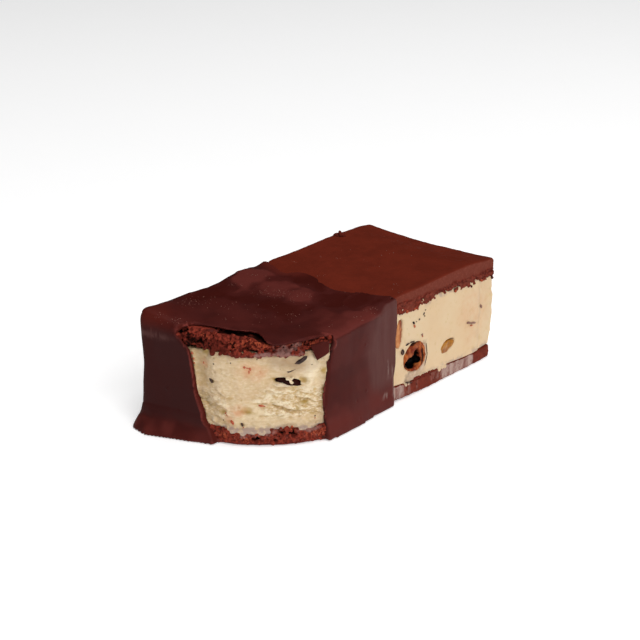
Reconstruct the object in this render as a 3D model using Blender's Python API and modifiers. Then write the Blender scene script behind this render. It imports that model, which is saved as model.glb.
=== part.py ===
"""A half-dipped ice cream sandwich with a bite out of one corner.

Two chocolate wafers hold a slab of pale ice cream with nut, peel and chocolate pieces in it. One
half is dipped in dark chocolate, which sets as a thin shell with a skirt where it pooled on the
tray. The bite takes the corner of the dipped half and shows every layer.

+X runs towards the plain end, -Y is the long side that the bite opens, +Z is up. The sandwich is
laid out in millimetres as a straight block, and settle() then moves each point to its place in
the uneven real one. The meshes are in metres, with the origin under the middle of the whole.
"""

import math

import bmesh
import bpy
from mathutils import Euler, Matrix, Vector, noise

MM = 0.001

# The straight block: its outside, and the heights at which one layer ends.
BAR_LENGTH = 115.0
BAR_WIDTH = 52.7
BOTTOM_WAFER = 4.4
ICE_TOP = 32.0
BAR_HEIGHT = 37.2
GAP = 0.3
HALF_LENGTH = BAR_LENGTH / 2
HALF_WIDTH = BAR_WIDTH / 2

# The real heights of the layers, each as (place along the bar, height).
BASE_RISE = 0.9
ICE_BASE_LINE = ((-62, 4.4), (-30, 4.9), (0, 5.8), (28, 4.7), (62, 4.0))
ICE_TOP_LINE = ((-62, 29.9), (-42, 32.2), (-15, 32.8), (4, 33.4), (28, 32.2), (62, 30.2))
WAFER_TOP_LINE = ((-62, 34.3), (-35, 35.6), (-10, 36.2), (4, 38.2), (40, 38.0), (62, 35.7))
DIPPED_TILT = 0.05
CORNER_LIFT = 2.8
PLAIN_TILT = 0.012
FAR_CUP = 0.9
RIPPLE = 0.35
RIPPLE_LENGTH = 23.0

# How the sides depart from flat ones.
END_SKEW = 3.8
END_WAIST = 0.3
SIDE_WAIST = 0.8
PLAIN_BELLY = 0.4
PLAIN_SPREAD = 0.5
FRONT_SWELL = 1.0
FAR_LEAN = 1.6
SIDE_WOBBLE = 0.3

# The chocolate shell, its open edge seen from above as (place across the bar, place along it).
SHELL_SIDE = 1.5
SHELL_TOP = 1.2
DIP_LINE = ((-28, 3.0), (-19, -0.6), (-6.5, -4.4), (8.5, 0.3), (16, -2.6), (28, 1.4))
DIP_LINE_BELOW = 0.6
FEATHER_LENGTH = 7.0
FEATHER_LEFT = 0.55
SKIRT_HEIGHT = 9.0
SKIRT_LINE = ((-26, 0.3), (-8, 0.8), (1, 1.7), (11, 4.0), (20, 6.0), (28, 3.2))
SKIRT_FRONT = 0.7
SKIRT_BACK = 1.6

# The bite. Its two edges run down the end and the long side, each as (height, place), and
# between them it follows an outline seen from above.
LEFT_EDGE = ((0, -1.4), (8, 3.0), (18, 6.3), (28, 7.6), (36, 14.0))
RIGHT_EDGE = ((0, -34.6), (8, -34.6), (26, -32.6), (36, -31.0))
BITE_LOW = ((-56, -6), (-53, -11), (-48, -16.8), (-43, -21), (-38.5, -24))
BITE_HIGH = ((-56.8, 0), (-54, -7), (-49.5, -12.5), (-44.5, -18), (-39, -23.5))
CRUMBLED = ((-54, 5), (-51.5, -3), (-48, -10), (-45.5, -15), (-40, -21))
SHELL_BREAK = ((-53, 5.5), (-49.5, -2.5), (-46.3, -8.5), (-49.5, -17.5), (-41, -23.5))
BITE_OUTWARD = Vector((-0.8, -0.6, 0.0))
BITE_REACH = 42.0
ICE_HOLLOW = 1.6
ICE_RELIEF = 0.35
CRUMB_RELIEF = 0.9

# The splinter of shell at the bite's corner: its outline across and up from its inner corner.
FLAKE_CORNER = (-38.6, -23.6, 33.0)
FLAKE = ((0, 0), (3.4, 1.2), (5.9, 1.4), (5.9, -2.3), (2.1, -5.0))
FLAKE_THICKNESS = 1.2
NUT_HOLLOW = (7.0, 6.0, 4.6)


def mix(a, b, share):
    return a + (b - a) * share


def ease(value, low, high):
    """0 at low, 1 at high, with a smooth rise between; it also works from high to low."""
    t = min(max((value - low) / (high - low), 0.0), 1.0)
    return t * t * (3 - 2 * t)


def read(line, at):
    """The value of a line of (place, value) pairs at a place, eased from each pair to the next."""
    for (start, before), (stop, after) in zip(line, line[1:]):
        if at <= stop:
            return mix(before, after, ease(at, start, stop))
    return line[-1][1]


def along(outline, share):
    """A point at a share of the way along a smooth curve through an outline's points."""
    spans = len(outline) - 1
    position = min(share, 0.9999) * spans
    i, t = int(position), position - int(position)
    p0, p1, p2, p3 = (Vector(outline[min(max(i + k, 0), spans)]) for k in (-1, 0, 1, 2))
    bend = (p0 * 2 - p1 * 5 + p2 * 4 - p3) * t * t + (p1 * 3 - p0 - p2 * 3 + p3) * t**3
    return (p1 * 2 + (p2 - p0) * t + bend) / 2


def layer_heights(x, y):
    """The real heights over one place: the base, the ice cream's base and top, the wafer's top."""
    slope = mix(DIPPED_TILT, PLAIN_TILT, ease(x, -20.0, 8.0))
    lift = CORNER_LIFT * ease(y, 10.0, 27.0) * ease(x, -28.0, -57.0)
    cup = FAR_CUP * ((y / HALF_WIDTH) ** 2 - 0.3) * ease(x, 30.0, 58.0)
    dipped = ease(x, 2.0, -8.0)
    ripple = math.sin(math.tau * (x + 0.3 * y) / RIPPLE_LENGTH) + 0.6 * math.sin(y / 6.0 + x / 15.0)
    uneven = 0.25 * math.sin(x / 9.0 + 1.0) * math.cos(y / 11.0)
    return (
        BASE_RISE * ease(x, 24.0, -4.0),
        read(ICE_BASE_LINE, x) + 0.3 * math.sin(x / 5.0 + y / 7.0),
        read(ICE_TOP_LINE, x) + slope * y / 2 + 0.3 * math.sin(x / 4.2 - y / 9.0),
        read(WAFER_TOP_LINE, x) + slope * y + lift + cup + uneven - dipped * RIPPLE * ripple,
    )


def settled_height(x, y, z):
    levels = (0.0, BOTTOM_WAFER, ICE_TOP, BAR_HEIGHT)
    real = layer_heights(x, y)
    if z <= 0:
        return real[0] + z
    for i in range(3):
        if z <= levels[i + 1]:
            return mix(real[i], real[i + 1], (z - levels[i]) / (levels[i + 1] - levels[i]))
    return real[3] + z - BAR_HEIGHT


def settle(point):
    """Moves a point of the straight block to its place in the uneven bar."""
    x, y, z = point
    dipped = ease(x, 12.0, -20.0)
    arch = math.sin(math.pi * min(max(z / BAR_HEIGHT, 0.0), 1.0)) ** 1.5
    across = y / HALF_WIDTH
    near = max(-x / HALF_LENGTH, 0.0)
    far = max(x / HALF_LENGTH, 0.0)
    swell = PLAIN_SPREAD * (1 - dipped)
    if y < 0:
        swell += FRONT_SWELL * math.exp(-(((x - 42.0) / 16.0) ** 2))
    wobble = SIDE_WOBBLE * math.sin(x / 6.5 + across)
    outward = swell + wobble + arch * mix(PLAIN_BELLY, -SIDE_WAIST, dipped)
    end_shift = END_WAIST * arch * near**8 - END_SKEW * across * near
    far_shift = far**6 * FAR_LEAN * (z / BAR_HEIGHT - 0.6)
    return Vector(
        (
            x + end_shift + far_shift,
            y + math.copysign(min(abs(across), 1.1) ** 6, y) * outward,
            settled_height(x, y, z),
        )
    )


def rounded(point, low, high, low_radii, high_radii):
    """A point on a box moved onto that box with rounded edges, with a radius for each side."""
    inner, off, radii = Vector(), Vector(), Vector()
    for i in range(3):
        inner[i] = min(max(point[i], low[i] + low_radii[i]), high[i] - high_radii[i])
        radii[i] = low_radii[i] if point[i] < inner[i] else high_radii[i]
        off[i] = (point[i] - inner[i]) / radii[i]
    off.normalize()
    return inner + Vector(radii[i] * off[i] for i in range(3))


def stations(low, high, step, low_radius=0.0, high_radius=0.0):
    """Where a block is cut across one axis: evenly, and closer where its edges are rounded."""
    found = []
    for end, radius, inward in ((low, low_radius, 1), (high, high_radius, -1)):
        if radius:
            found += [end + inward * radius / 2, end + inward * radius]
    start, stop = low + low_radius, high - high_radius
    count = max(round((stop - start) / step), 1)
    found += [mix(start, stop, i / count) for i in range(1, count)]
    return sorted(found)


def block(low, high, cuts):
    """A box as a bmesh, cut across at each station on its three axes."""
    bm = bmesh.new()
    bmesh.ops.create_cube(bm, size=1)
    low, high = Vector(low), Vector(high)
    bmesh.ops.scale(bm, vec=high - low, verts=bm.verts)
    bmesh.ops.translate(bm, vec=(low + high) / 2, verts=bm.verts)
    for axis, values in enumerate(cuts):
        normal = Vector([float(i == axis) for i in range(3)])
        for value in values:
            everything = [*bm.verts, *bm.edges, *bm.faces]
            bmesh.ops.bisect_plane(bm, geom=everything, plane_co=normal * value, plane_no=normal)
    return bm


def lump(size, roughness, seed):
    """A rough rounded piece centred on the origin, as a bmesh."""
    bm = bmesh.new()
    bmesh.ops.create_icosphere(bm, subdivisions=2, radius=1.0)
    for vertex in bm.verts:
        swell = 1 + roughness * noise.noise(vertex.co * 1.7 + Vector((seed, 0, 0)))
        vertex.co = Vector(vertex.co[i] * size[i] / 2 * swell for i in range(3))
    return bm


def reshape(bm, place):
    for vertex in bm.verts:
        vertex.co = place(vertex.co)


def swell_by(bm, amount):
    """Moves every point outwards along its normal, to make room round a piece."""
    bm.normal_update()
    for vertex in bm.verts:
        vertex.co += vertex.normal * amount


def material(name, colour, roughness, coat=0.0):
    made = bpy.data.materials.new(name)
    made.use_nodes = True
    shader = made.node_tree.nodes["Principled BSDF"]
    shader.inputs["Base Color"].default_value = (*colour, 1.0)
    shader.inputs["Roughness"].default_value = roughness
    shader.inputs["Metallic"].default_value = 0.0
    shader.inputs["Coat Weight"].default_value = coat
    made.diffuse_color = (*colour, 1.0)
    return made


def collection(name):
    made = bpy.data.collections.new(name)
    bpy.context.scene.collection.children.link(made)
    return made


def add_object(name, bm, group, finish=None):
    """Turns a bmesh in millimetres into an object in metres with its faces pointing out."""
    bmesh.ops.recalc_face_normals(bm, faces=bm.faces)
    if bm.calc_volume(signed=True) < 0:
        bmesh.ops.reverse_faces(bm, faces=bm.faces)
    bmesh.ops.scale(bm, vec=Vector((MM, MM, MM)), verts=bm.verts)
    mesh = bpy.data.meshes.new(name)
    bm.to_mesh(mesh)
    bm.free()
    mesh.shade_smooth()
    mesh.set_sharp_from_angle(angle=math.radians(40))
    made = bpy.data.objects.new(name, mesh)
    group.objects.link(made)
    if finish:
        mesh.materials.append(finish)
    else:
        made.hide_render = True
        made.display_type = "WIRE"
    return made


def cut(target, cutter):
    modifier = target.modifiers.new(cutter.name, "BOOLEAN")
    modifier.operation = "DIFFERENCE"
    modifier.object = cutter
    modifier.solver = "EXACT"


def soften(target, width):
    """Rounds the long sharp edges of a layer."""
    bevel = target.modifiers.new("soft edges", "BEVEL")
    bevel.width = width * MM
    bevel.segments = 2
    bevel.limit_method = "ANGLE"
    bevel.angle_limit = math.radians(55)


def layer(name, base, top, group, finish):
    """One layer of the sandwich: a wafer, or the ice cream."""
    low = (-HALF_LENGTH, -HALF_WIDTH, base)
    high = (HALF_LENGTH, HALF_WIDTH, top)
    lengthwise = stations(-HALF_LENGTH, HALF_LENGTH, 5.5)
    across = stations(-HALF_WIDTH, HALF_WIDTH, 6.6)
    heights = stations(base, top, 6.8)
    bm = block(low, high, (lengthwise, across, heights))
    reshape(bm, settle)
    return add_object(name, bm, group, finish)


def bite_cutter(name, low, high, span, relief, grain, hollow, group):
    """The space that the teeth took, with a rough inner face that runs along an outline."""
    bottom, top, columns, rows = -6.0, 46.0, 30, 16
    shares = [i / columns for i in range(1, columns)]
    levels = stations(bottom, top, (top - bottom) / rows)
    bm = block((0.0, 0.0, bottom), (1.0, 1.0, top), (shares, [], levels))

    def outline(z):
        rise = ease(z, *span)
        left = read(LEFT_EDGE, z)
        right = read(RIGHT_EDGE, z)
        between = [Vector(a).lerp(Vector(b), rise) for a, b in zip(low, high)]
        left_end = [(-78, left), (-61, left), (-57.4, left - 0.6)]
        right_end = [(right - 0.6, -26.2), (right, -29.0), (right + 1, -48)]
        return [*left_end, *between, *right_end]

    outlines = {}

    def bitten(point):
        share, out, z = point
        points = outlines.setdefault(round(z, 3), outline(z))
        flat = along(points, share)
        place = Vector((flat.x, flat.y, z))
        depth = hollow * math.sin(math.pi * min(max(z / ICE_TOP, 0.0), 1.0))
        depth *= math.sin(math.pi * share) ** 2
        depth += relief * noise.fractal(place / grain, 0.9, 2.1, 3)
        return place + BITE_OUTWARD * (BITE_REACH * out - depth)

    reshape(bm, bitten)
    return add_object(name, bm, group)


def dip_front(y, z):
    """How far the shell reaches along the bar, at a place on its open edge."""
    ragged = 0.3 * math.sin(z / 2.1 + y / 5.0)
    return mix(DIP_LINE_BELOW, read(DIP_LINE, y), ease(z, 0.0, BAR_HEIGHT)) + ragged


def shell_outside(group, finish):
    """The shell's outer skin as a filled body, flat underneath where it set on the tray."""
    low = Vector((-HALF_LENGTH - SHELL_SIDE, -HALF_WIDTH - SHELL_SIDE, 0.0))
    high = Vector((0.0, HALF_WIDTH + SHELL_SIDE, BAR_HEIGHT + SHELL_TOP))
    low_radii, high_radii = (3.2, 2.8, 0.0), (0.9, 2.8, 2.8)
    steps = (4.4, 4.4, 4.4)
    cuts = [stations(*side) for side in zip(low, high, steps, low_radii, high_radii)]
    bm = block(low, high, cuts)

    def poured(point):
        place = rounded(point, low, high, low_radii, high_radii)
        front = dip_front(place.y, place.z)
        share = (place.x - low.x) / (high.x - low.x)
        place.x = mix(low.x, front, share)
        thickness = mix(FEATHER_LEFT, 1.0, ease(front - place.x, 0.0, FEATHER_LENGTH))
        if place.z > BAR_HEIGHT:
            place.z = mix(BAR_HEIGHT, place.z, thickness)
        settled = settle(place)
        settled.z = mix(place.z, settled.z, ease(place.z, 0.0, 6.0))
        low_down = ease(settled.z, SKIRT_HEIGHT, 0.3) ** 1.8
        at_end = ease(place.x, -HALF_LENGTH + 7, low.x)
        at_side = ease(abs(place.y), HALF_WIDTH - 5, high.y) * ease(place.x, front, -30.0)
        spread = SKIRT_BACK if place.y > 0 else -SKIRT_FRONT
        settled.x -= low_down * at_end * read(SKIRT_LINE, place.y)
        settled.y += low_down * at_side * spread
        return settled

    reshape(bm, poured)
    return add_object("chocolate_shell", bm, group, finish)


def shell_inside(group):
    """The space that the sandwich fills inside the shell, with a hair's gap all round."""
    low = (-HALF_LENGTH - GAP, -HALF_WIDTH - GAP, -GAP)
    high = (HALF_LENGTH, HALF_WIDTH + GAP, BAR_HEIGHT + GAP)
    lengthwise = stations(low[0], high[0], 5.5)
    across = stations(low[1], high[1], 6.6)
    bm = block(low, high, (lengthwise, across, stations(low[2], high[2], 6.2)))
    reshape(bm, settle)
    return add_object("sandwich space", bm, group)


def inclusion(name, size, place, turn, seed, flush):
    """A piece set in the ice cream and the pocket that it sits in, as two bmeshes.

    A flush piece was cut through by the knife, level with the long side.
    """
    stance = Matrix.Translation(place) @ Euler(turn).to_matrix().to_4x4()
    piece, pocket = lump(size, 0.3, seed), lump(size, 0.3, seed)
    swell_by(pocket, GAP)
    for bm in (piece, pocket):
        bmesh.ops.transform(bm, matrix=stance, verts=bm.verts)
    if flush:
        slice_off(piece, Vector((0, -HALF_WIDTH - 0.2, 0)), Vector((0, -1, 0)))
    for bm in (piece, pocket):
        reshape(bm, settle)
    return piece, pocket


def slice_off(bm, place, outward):
    """Cuts a closed body with a plane and closes the cut."""
    everything = [*bm.verts, *bm.edges, *bm.faces]
    bmesh.ops.bisect_plane(bm, geom=everything, plane_co=place, plane_no=outward, clear_outer=True)
    bmesh.ops.holes_fill(bm, edges=bm.edges)
    bmesh.ops.triangulate(bm, faces=bm.faces)


def flake():
    """The splinter of shell that hangs at the bite's right-hand corner, as a bmesh."""
    across = Vector((-BITE_OUTWARD.y, BITE_OUTWARD.x, 0.0))
    corner = Vector(FLAKE_CORNER)
    bm = bmesh.new()
    rim = [bm.verts.new(corner + across * u + Vector((0, 0, v))) for u, v in FLAKE]
    face = bm.faces.new(rim)
    raised = bmesh.ops.extrude_face_region(bm, geom=[face])["geom"]
    moved = [item for item in raised if isinstance(item, bmesh.types.BMVert)]
    bmesh.ops.translate(bm, vec=BITE_OUTWARD * FLAKE_THICKNESS, verts=moved)
    return bm


def clear_scene():
    for old in list(bpy.data.objects):
        bpy.data.objects.remove(old)


def centre_over_origin(parts, cutters):
    """Moves everything so that the origin is on the base, under the middle of the whole."""
    graph = bpy.context.evaluated_depsgraph_get()
    corners = []
    for part in parts:
        evaluated = part.evaluated_get(graph)
        corners += [evaluated.matrix_world @ vertex.co for vertex in evaluated.data.vertices]
    lows = [min(c[i] for c in corners) for i in range(3)]
    highs = [max(c[i] for c in corners) for i in range(3)]
    shift = Vector(((lows[0] + highs[0]) / 2, (lows[1] + highs[1]) / 2, lows[2]))
    for made in (*parts, *cutters):
        made.location -= shift


def main():
    clear_scene()
    parts = collection("ice cream sandwich")
    cutters = collection("cutters")

    wafer = material("chocolate wafer", (0.12, 0.020, 0.010), 0.6)
    cream = material("ice cream", (0.76, 0.57, 0.36), 0.5)
    chocolate = material("dark chocolate", (0.055, 0.013, 0.011), 0.35, coat=0.3)
    nut = material("candied nut", (0.30, 0.09, 0.03), 0.4)
    almond = material("almond", (0.45, 0.20, 0.08), 0.5)
    peel = material("candied peel", (0.50, 0.22, 0.03), 0.35)

    low_span, high_span = (2.0, 30.0), (ICE_TOP - 2, BAR_HEIGHT)
    ice_bite = bite_cutter(
        "ice cream bite", BITE_LOW, BITE_HIGH, low_span, ICE_RELIEF, 5.0, ICE_HOLLOW, cutters
    )
    base_bite = bite_cutter(
        "bottom wafer bite", BITE_LOW, BITE_HIGH, low_span, CRUMB_RELIEF, 2.6, 0.0, cutters
    )
    top_bite = bite_cutter(
        "top wafer bite", BITE_HIGH, CRUMBLED, high_span, CRUMB_RELIEF, 2.6, 0.0, cutters
    )
    shell_bite = bite_cutter(
        "shell bite", BITE_LOW, SHELL_BREAK, low_span, 0.3, 3.0, 0.0, cutters
    )

    bottom = layer("bottom_wafer", 0.0, BOTTOM_WAFER, parts, wafer)
    filling = layer("ice_cream", BOTTOM_WAFER + GAP, ICE_TOP, parts, cream)
    top = layer("top_wafer", ICE_TOP + GAP, BAR_HEIGHT, parts, wafer)
    for piece, width in ((bottom, 0.5), (filling, 0.4), (top, 0.7)):
        soften(piece, width)
    cut(bottom, base_bite)
    cut(top, top_bite)
    cut(filling, ice_bite)

    side = -HALF_WIDTH
    pieces = (
        ("candied_nut", (13.0, 9.0, 10.6), (11.8, side + 1.6, 13.2), (0, 0.2, 0), 3.0, True, nut),
        ("almond_slice", (2.8, 9.0, 11.4), (4.1, side + 1.4, 23.4), (0, 0.1, 0), 5.0, True, almond),
        ("peel_piece", (7.8, 5.0, 3.9), (31.0, side + 0.9, 12.0), (0, -0.3, 0), 8.0, True, peel),
        ("chocolate_piece", (9.6, 6.0, 3.2), (-43.3, -17.5, 20.6), (0, 0.2, -0.93), 9.0, False, chocolate),
    )
    for name, size, place, turn, seed, flush, finish in pieces:
        piece, pocket = inclusion(name, size, place, turn, seed, flush)
        made = add_object(name, piece, parts, finish)
        cut(filling, add_object(name + " pocket", pocket, cutters))
        if name == "candied_nut":
            hollow = lump(NUT_HOLLOW, 0.3, 6.0)
            bmesh.ops.translate(hollow, vec=(12.0, side - 0.2, 11.6), verts=hollow.verts)
            reshape(hollow, settle)
            cut(made, add_object("nut hollow", hollow, cutters))
    add_object("shell_flake", flake(), parts, chocolate)

    shell = shell_outside(parts, chocolate)
    cut(shell, shell_inside(cutters))
    cut(shell, shell_bite)

    bpy.context.view_layer.update()
    centre_over_origin(parts.objects, cutters.objects)


main()
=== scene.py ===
"""The looks of a half-dipped ice cream sandwich with a bite out of its dipped corner."""

import math
from itertools import product

import bmesh
import bpy
import numpy as np
from mathutils import Matrix, Vector
from mathutils.bvhtree import BVHTree
from mathutils.kdtree import KDTree


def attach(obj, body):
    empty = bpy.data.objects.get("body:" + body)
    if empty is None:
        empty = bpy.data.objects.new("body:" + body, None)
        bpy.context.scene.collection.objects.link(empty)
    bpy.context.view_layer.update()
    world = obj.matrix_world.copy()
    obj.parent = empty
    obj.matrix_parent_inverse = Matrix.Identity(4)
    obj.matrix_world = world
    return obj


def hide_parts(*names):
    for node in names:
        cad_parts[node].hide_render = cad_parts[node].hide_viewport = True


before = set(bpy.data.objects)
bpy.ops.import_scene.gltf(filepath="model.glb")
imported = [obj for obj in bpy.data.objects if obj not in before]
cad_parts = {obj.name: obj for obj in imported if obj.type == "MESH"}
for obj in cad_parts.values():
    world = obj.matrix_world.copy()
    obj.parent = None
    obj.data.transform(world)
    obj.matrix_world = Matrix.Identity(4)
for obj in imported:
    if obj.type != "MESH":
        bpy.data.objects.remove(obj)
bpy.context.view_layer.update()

# ---- Bottom wafer ----
# A soft cocoa wafer baked in a sheet and cut to the bar's size. Its top is pressed on the ice
# cream, which smears and frosts it, and the bite breaks it into crumb.

MM = 0.001
WAFER_GRID = 0.34
WAFER_SWELL = 0.2
WAFER_TRIANGLES = 168_000
chance = np.random.default_rng(21)


def ease(values, low, high):
    """0 at low and 1 at high with a smooth rise between; it also works from high to low."""
    share = np.clip((values - low) / (high - low), 0.0, 1.0)
    return share * share * (3 - 2 * share)


def hashed(cells, seed):
    """A steady number from 0 to 1 for each cell of a grid."""
    mixed = cells[:, 0] * 73856093 ^ cells[:, 1] * 19349663 ^ cells[:, 2] * 83492791
    mixed = (mixed ^ (seed * 2654435761)) & 0xFFFFFFFF
    mixed = ((mixed ^ (mixed >> 15)) * 2246822519) & 0xFFFFFFFF
    mixed = ((mixed ^ (mixed >> 13)) * 3266489917) & 0xFFFFFFFF
    return ((mixed ^ (mixed >> 16)) & 0xFFFFFF) / 0xFFFFFF


def waves(points, size, seed, octaves=1, up=1.0):
    """Smooth uneven swells from -1 to 1, a given size apart, and flatter where up is over 1."""
    total = np.zeros(len(points))
    for octave in range(octaves):
        place = points * (1.0, 1.0, up) / size * 2**octave + 31.7 * (octave + 1)
        cell = np.floor(place).astype(np.int64)
        share = place - cell
        share = share * share * (3 - 2 * share)
        for corner in product((0, 1), repeat=3):
            weight = np.prod(np.where(corner, share, 1 - share), axis=1)
            total += weight * (2 * hashed(cell + np.array(corner), seed + octave) - 1) / 2**octave
    return total


def grains(points, size, seed):
    """How far each point is from its nearest grain's middle, in grains, and that grain's number."""
    place = points / size
    cell = np.floor(place).astype(np.int64)
    nearest = np.full(len(points), 9.0)
    kind = np.zeros(len(points))
    for offset in product((-1, 0, 1), repeat=3):
        home = cell + np.array(offset)
        spot = home + np.stack([hashed(home, seed + k) for k in range(3)], axis=1)
        away = np.linalg.norm(place - spot, axis=1)
        closer = away < nearest
        nearest = np.where(closer, away, nearest)
        kind = np.where(closer, hashed(home, seed + 5), kind)
    return nearest, kind


def patch(points, centre, reach, ragged, soft):
    """1 inside an uneven patch round a place and 0 outside it."""
    away = np.linalg.norm((points - centre) / reach, axis=1)
    near = away < 2
    away[near] += ragged * waves(points[near], float(np.mean(reach)) * 0.7, 11, 2)
    return ease(away, 1 + soft / 2, 1 - soft / 2)


def points_of(piece):
    """A piece's points in millimetres."""
    found = np.empty(len(piece.data.vertices) * 3, np.float32)
    piece.data.vertices.foreach_get("co", found)
    return found.reshape(-1, 3).astype(float) / MM


def surface_of(piece):
    """A piece's points, and the normals at them."""
    found = np.empty(len(piece.data.vertices) * 3, np.float32)
    piece.data.vertex_normals.foreach_get("vector", found)
    return points_of(piece), found.reshape(-1, 3).astype(float)


def move_points(piece, points):
    """Puts a piece's points at places in millimetres."""
    piece.data.vertices.foreach_set("co", (points * MM).astype(np.float32).ravel())
    piece.data.update()


def push(piece, amount):
    """Moves each point out along its normal, by millimetres."""
    points, normals = surface_of(piece)
    move_points(piece, points + normals * amount[:, None])


def with_modifier(piece, kind, **settings):
    """Applies one modifier to a piece's mesh."""
    modifier = piece.modifiers.new(kind, kind)
    for name, value in settings.items():
        setattr(modifier, name, value)
    bpy.context.view_layer.update()
    evaluated = piece.evaluated_get(bpy.context.evaluated_depsgraph_get())
    shaped = bpy.data.meshes.new_from_object(evaluated)
    piece.modifiers.clear()
    piece.data = shaped


def joined(shapes):
    """Several (points, faces) pairs as one."""
    points = np.concatenate([corners for corners, _ in shapes])
    starts = np.cumsum([0] + [len(corners) for corners, _ in shapes[:-1]])
    faces = []
    for (_, found), start in zip(shapes, starts.tolist()):
        faces += [tuple(i + start for i in face) for face in found]
    return points, faces


def new_piece(name, points, faces):
    mesh = bpy.data.meshes.new(name)
    mesh.from_pydata((np.asarray(points) * MM).tolist(), [], faces)
    mesh.shade_smooth()
    piece = bpy.data.objects.new(name, mesh)
    bpy.context.scene.collection.objects.link(piece)
    return piece


def shape_of(piece):
    """A piece's points and faces."""
    return points_of(piece), [tuple(face.vertices) for face in piece.data.polygons]


def solids(*nodes):
    """The points and faces of the CAD solids of some nodes."""
    return joined([shape_of(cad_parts[node]) for node in nodes])


def searchable(points, faces):
    """A shape as a tree that finds the place on it nearest to another, or under one."""
    return BVHTree.FromPolygons(points.tolist(), faces)


def melted(piece, grid):
    """Melts all that a piece is made of into one even mesh."""
    with_modifier(piece, "REMESH", mode="VOXEL", voxel_size=grid * MM, use_smooth_shade=True)


def fine_piece(name, node, grid, added=()):
    """A node's CAD solid, and anything added, as one even mesh fine enough to shape."""
    piece = new_piece(name, *joined([solids(node), *added]))
    melted(piece, grid)
    with_modifier(piece, "SMOOTH", factor=0.5, iterations=2)
    return piece


def thinned(piece, triangles):
    """Brings a piece under a number of triangles; its flat parts lose theirs first."""
    count = sum(len(face.vertices) - 2 for face in piece.data.polygons)
    if count > triangles:
        with_modifier(piece, "DECIMATE", ratio=triangles / count)
    piece.data.shade_smooth()


def relief_over(piece, *nodes, where=None):
    """How far each point, or each one chosen, stands out of the CAD solids, and the place under it."""
    tree = searchable(*solids(*nodes))
    placed = points_of(piece)
    relief, feet = np.zeros(len(placed)), placed.copy()
    for i in range(len(placed)) if where is None else np.flatnonzero(where):
        foot, normal, _, distance = tree.find_nearest(Vector(placed[i]))
        relief[i] = math.copysign(distance, (Vector(placed[i]) - foot).dot(normal))
        feet[i] = foot
    return relief, feet


def ball(detail):
    """A ball of radius 1, as points and faces."""
    made = bmesh.new()
    bmesh.ops.create_icosphere(made, subdivisions=detail, radius=1.0)
    points = np.array([vertex.co for vertex in made.verts])
    faces = [tuple(vertex.index for vertex in face.verts) for face in made.faces]
    made.free()
    return points, faces


def crumb(place, size, rough=0.35, detail=1):
    """One rough crumb, as points and faces."""
    points, faces = ball(detail)
    uneven = 1 + rough * waves(points + 10 * chance.random(3), 0.9, 3)
    turn = np.array(Matrix.Rotation(chance.random() * math.tau, 3, Vector(chance.random(3) - 0.5)))
    flat = np.array([1.0, 0.6 + 0.5 * chance.random(), 0.5 + 0.4 * chance.random()])
    return points * uneven[:, None] * flat @ turn * size / 2 + place, faces


def scattered(piece, count, wanted):
    """Places spread evenly over the wanted parts of a piece, and the normals there."""
    piece.data.calc_loop_triangles()
    triangles = np.empty(len(piece.data.loop_triangles) * 3, np.int32)
    piece.data.loop_triangles.foreach_get("vertices", triangles)
    corners = points_of(piece)[triangles.reshape(-1, 3)]
    cross = np.cross(corners[:, 1] - corners[:, 0], corners[:, 2] - corners[:, 0])
    area = np.linalg.norm(cross, axis=1)
    normals = cross / np.maximum(area, 1e-9)[:, None]
    area = area * wanted(corners.mean(axis=1), normals)
    chosen = chance.choice(len(area), size=count, p=area / area.sum())
    a, b = chance.random((2, count, 1))
    a, b = np.where(a + b > 1, 1 - a, a), np.where(a + b > 1, 1 - b, b)
    corner = corners[chosen]
    places = corner[:, 0] + a * (corner[:, 1] - corner[:, 0]) + b * (corner[:, 2] - corner[:, 0])
    return places, normals[chosen]


def crumb_blanket(name, nodes, places, normals, sizes, lift, grid):
    """Crumbs that cling over some nodes, as one piece; its points' relief, and their crumbs' kinds."""
    made = []
    homes = KDTree(len(places))
    for i, (place, normal) in enumerate(zip(places, normals)):
        size = sizes[0] + (sizes[1] - sizes[0]) * chance.random() ** 2.2
        made.append(crumb(place + normal * lift * size, size))
        homes.insert(place, i)
    homes.balance()
    kinds = chance.random(len(places))
    piece = new_piece(name, *joined(made))
    melted(piece, grid)
    push(piece, 0.09 * waves(points_of(piece), 0.55, 7, 2))
    kinds = kinds[[homes.find(place)[1] for place in points_of(piece)]]
    return piece, relief_over(piece, *nodes)[0], kinds


class Wire:
    """A shader socket. Arithmetic on one adds its nodes, and node() adds any other kind."""

    def __init__(self, tree, socket=None):
        self.tree = tree
        self.socket = socket

    def node(self, kind, settings=None, sockets=None, out=0):
        made = self.tree.nodes.new("ShaderNode" + kind)
        for name, value in (settings or {}).items():
            setattr(made, name, value)
        for name, value in (sockets or {}).items():
            if isinstance(value, Wire):
                self.tree.links.new(value.socket, made.inputs[name])
            else:
                made.inputs[name].default_value = value
        return Wire(self.tree, made.outputs[out])

    def math(self, operation, *values):
        return self.node("Math", {"operation": operation}, dict(enumerate(values)))

    def __add__(self, other):
        return self.math("ADD", self, other)

    def __radd__(self, other):
        return self.math("ADD", other, self)

    def __sub__(self, other):
        return self.math("SUBTRACT", self, other)

    def __rsub__(self, other):
        return self.math("SUBTRACT", other, self)

    def __mul__(self, other):
        return self.math("MULTIPLY", self, other)

    def rise(self, low, high):
        """0 below low and 1 above high; from high to low it falls instead."""
        limits = {"Value": self, "From Min": low, "From Max": high}
        if low > high:
            limits = {"Value": self, "From Min": high, "From Max": low, "To Min": 1.0, "To Max": 0.0}
        return self.node("MapRange", {"interpolation_type": "SMOOTHSTEP"}, limits)

    def blend(self, under, over):
        """One colour where this is 0 and another where it is 1."""
        return self.node("Mix", {"data_type": "RGBA"}, {0: self, 6: under, 7: over}, out=2)


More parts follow.
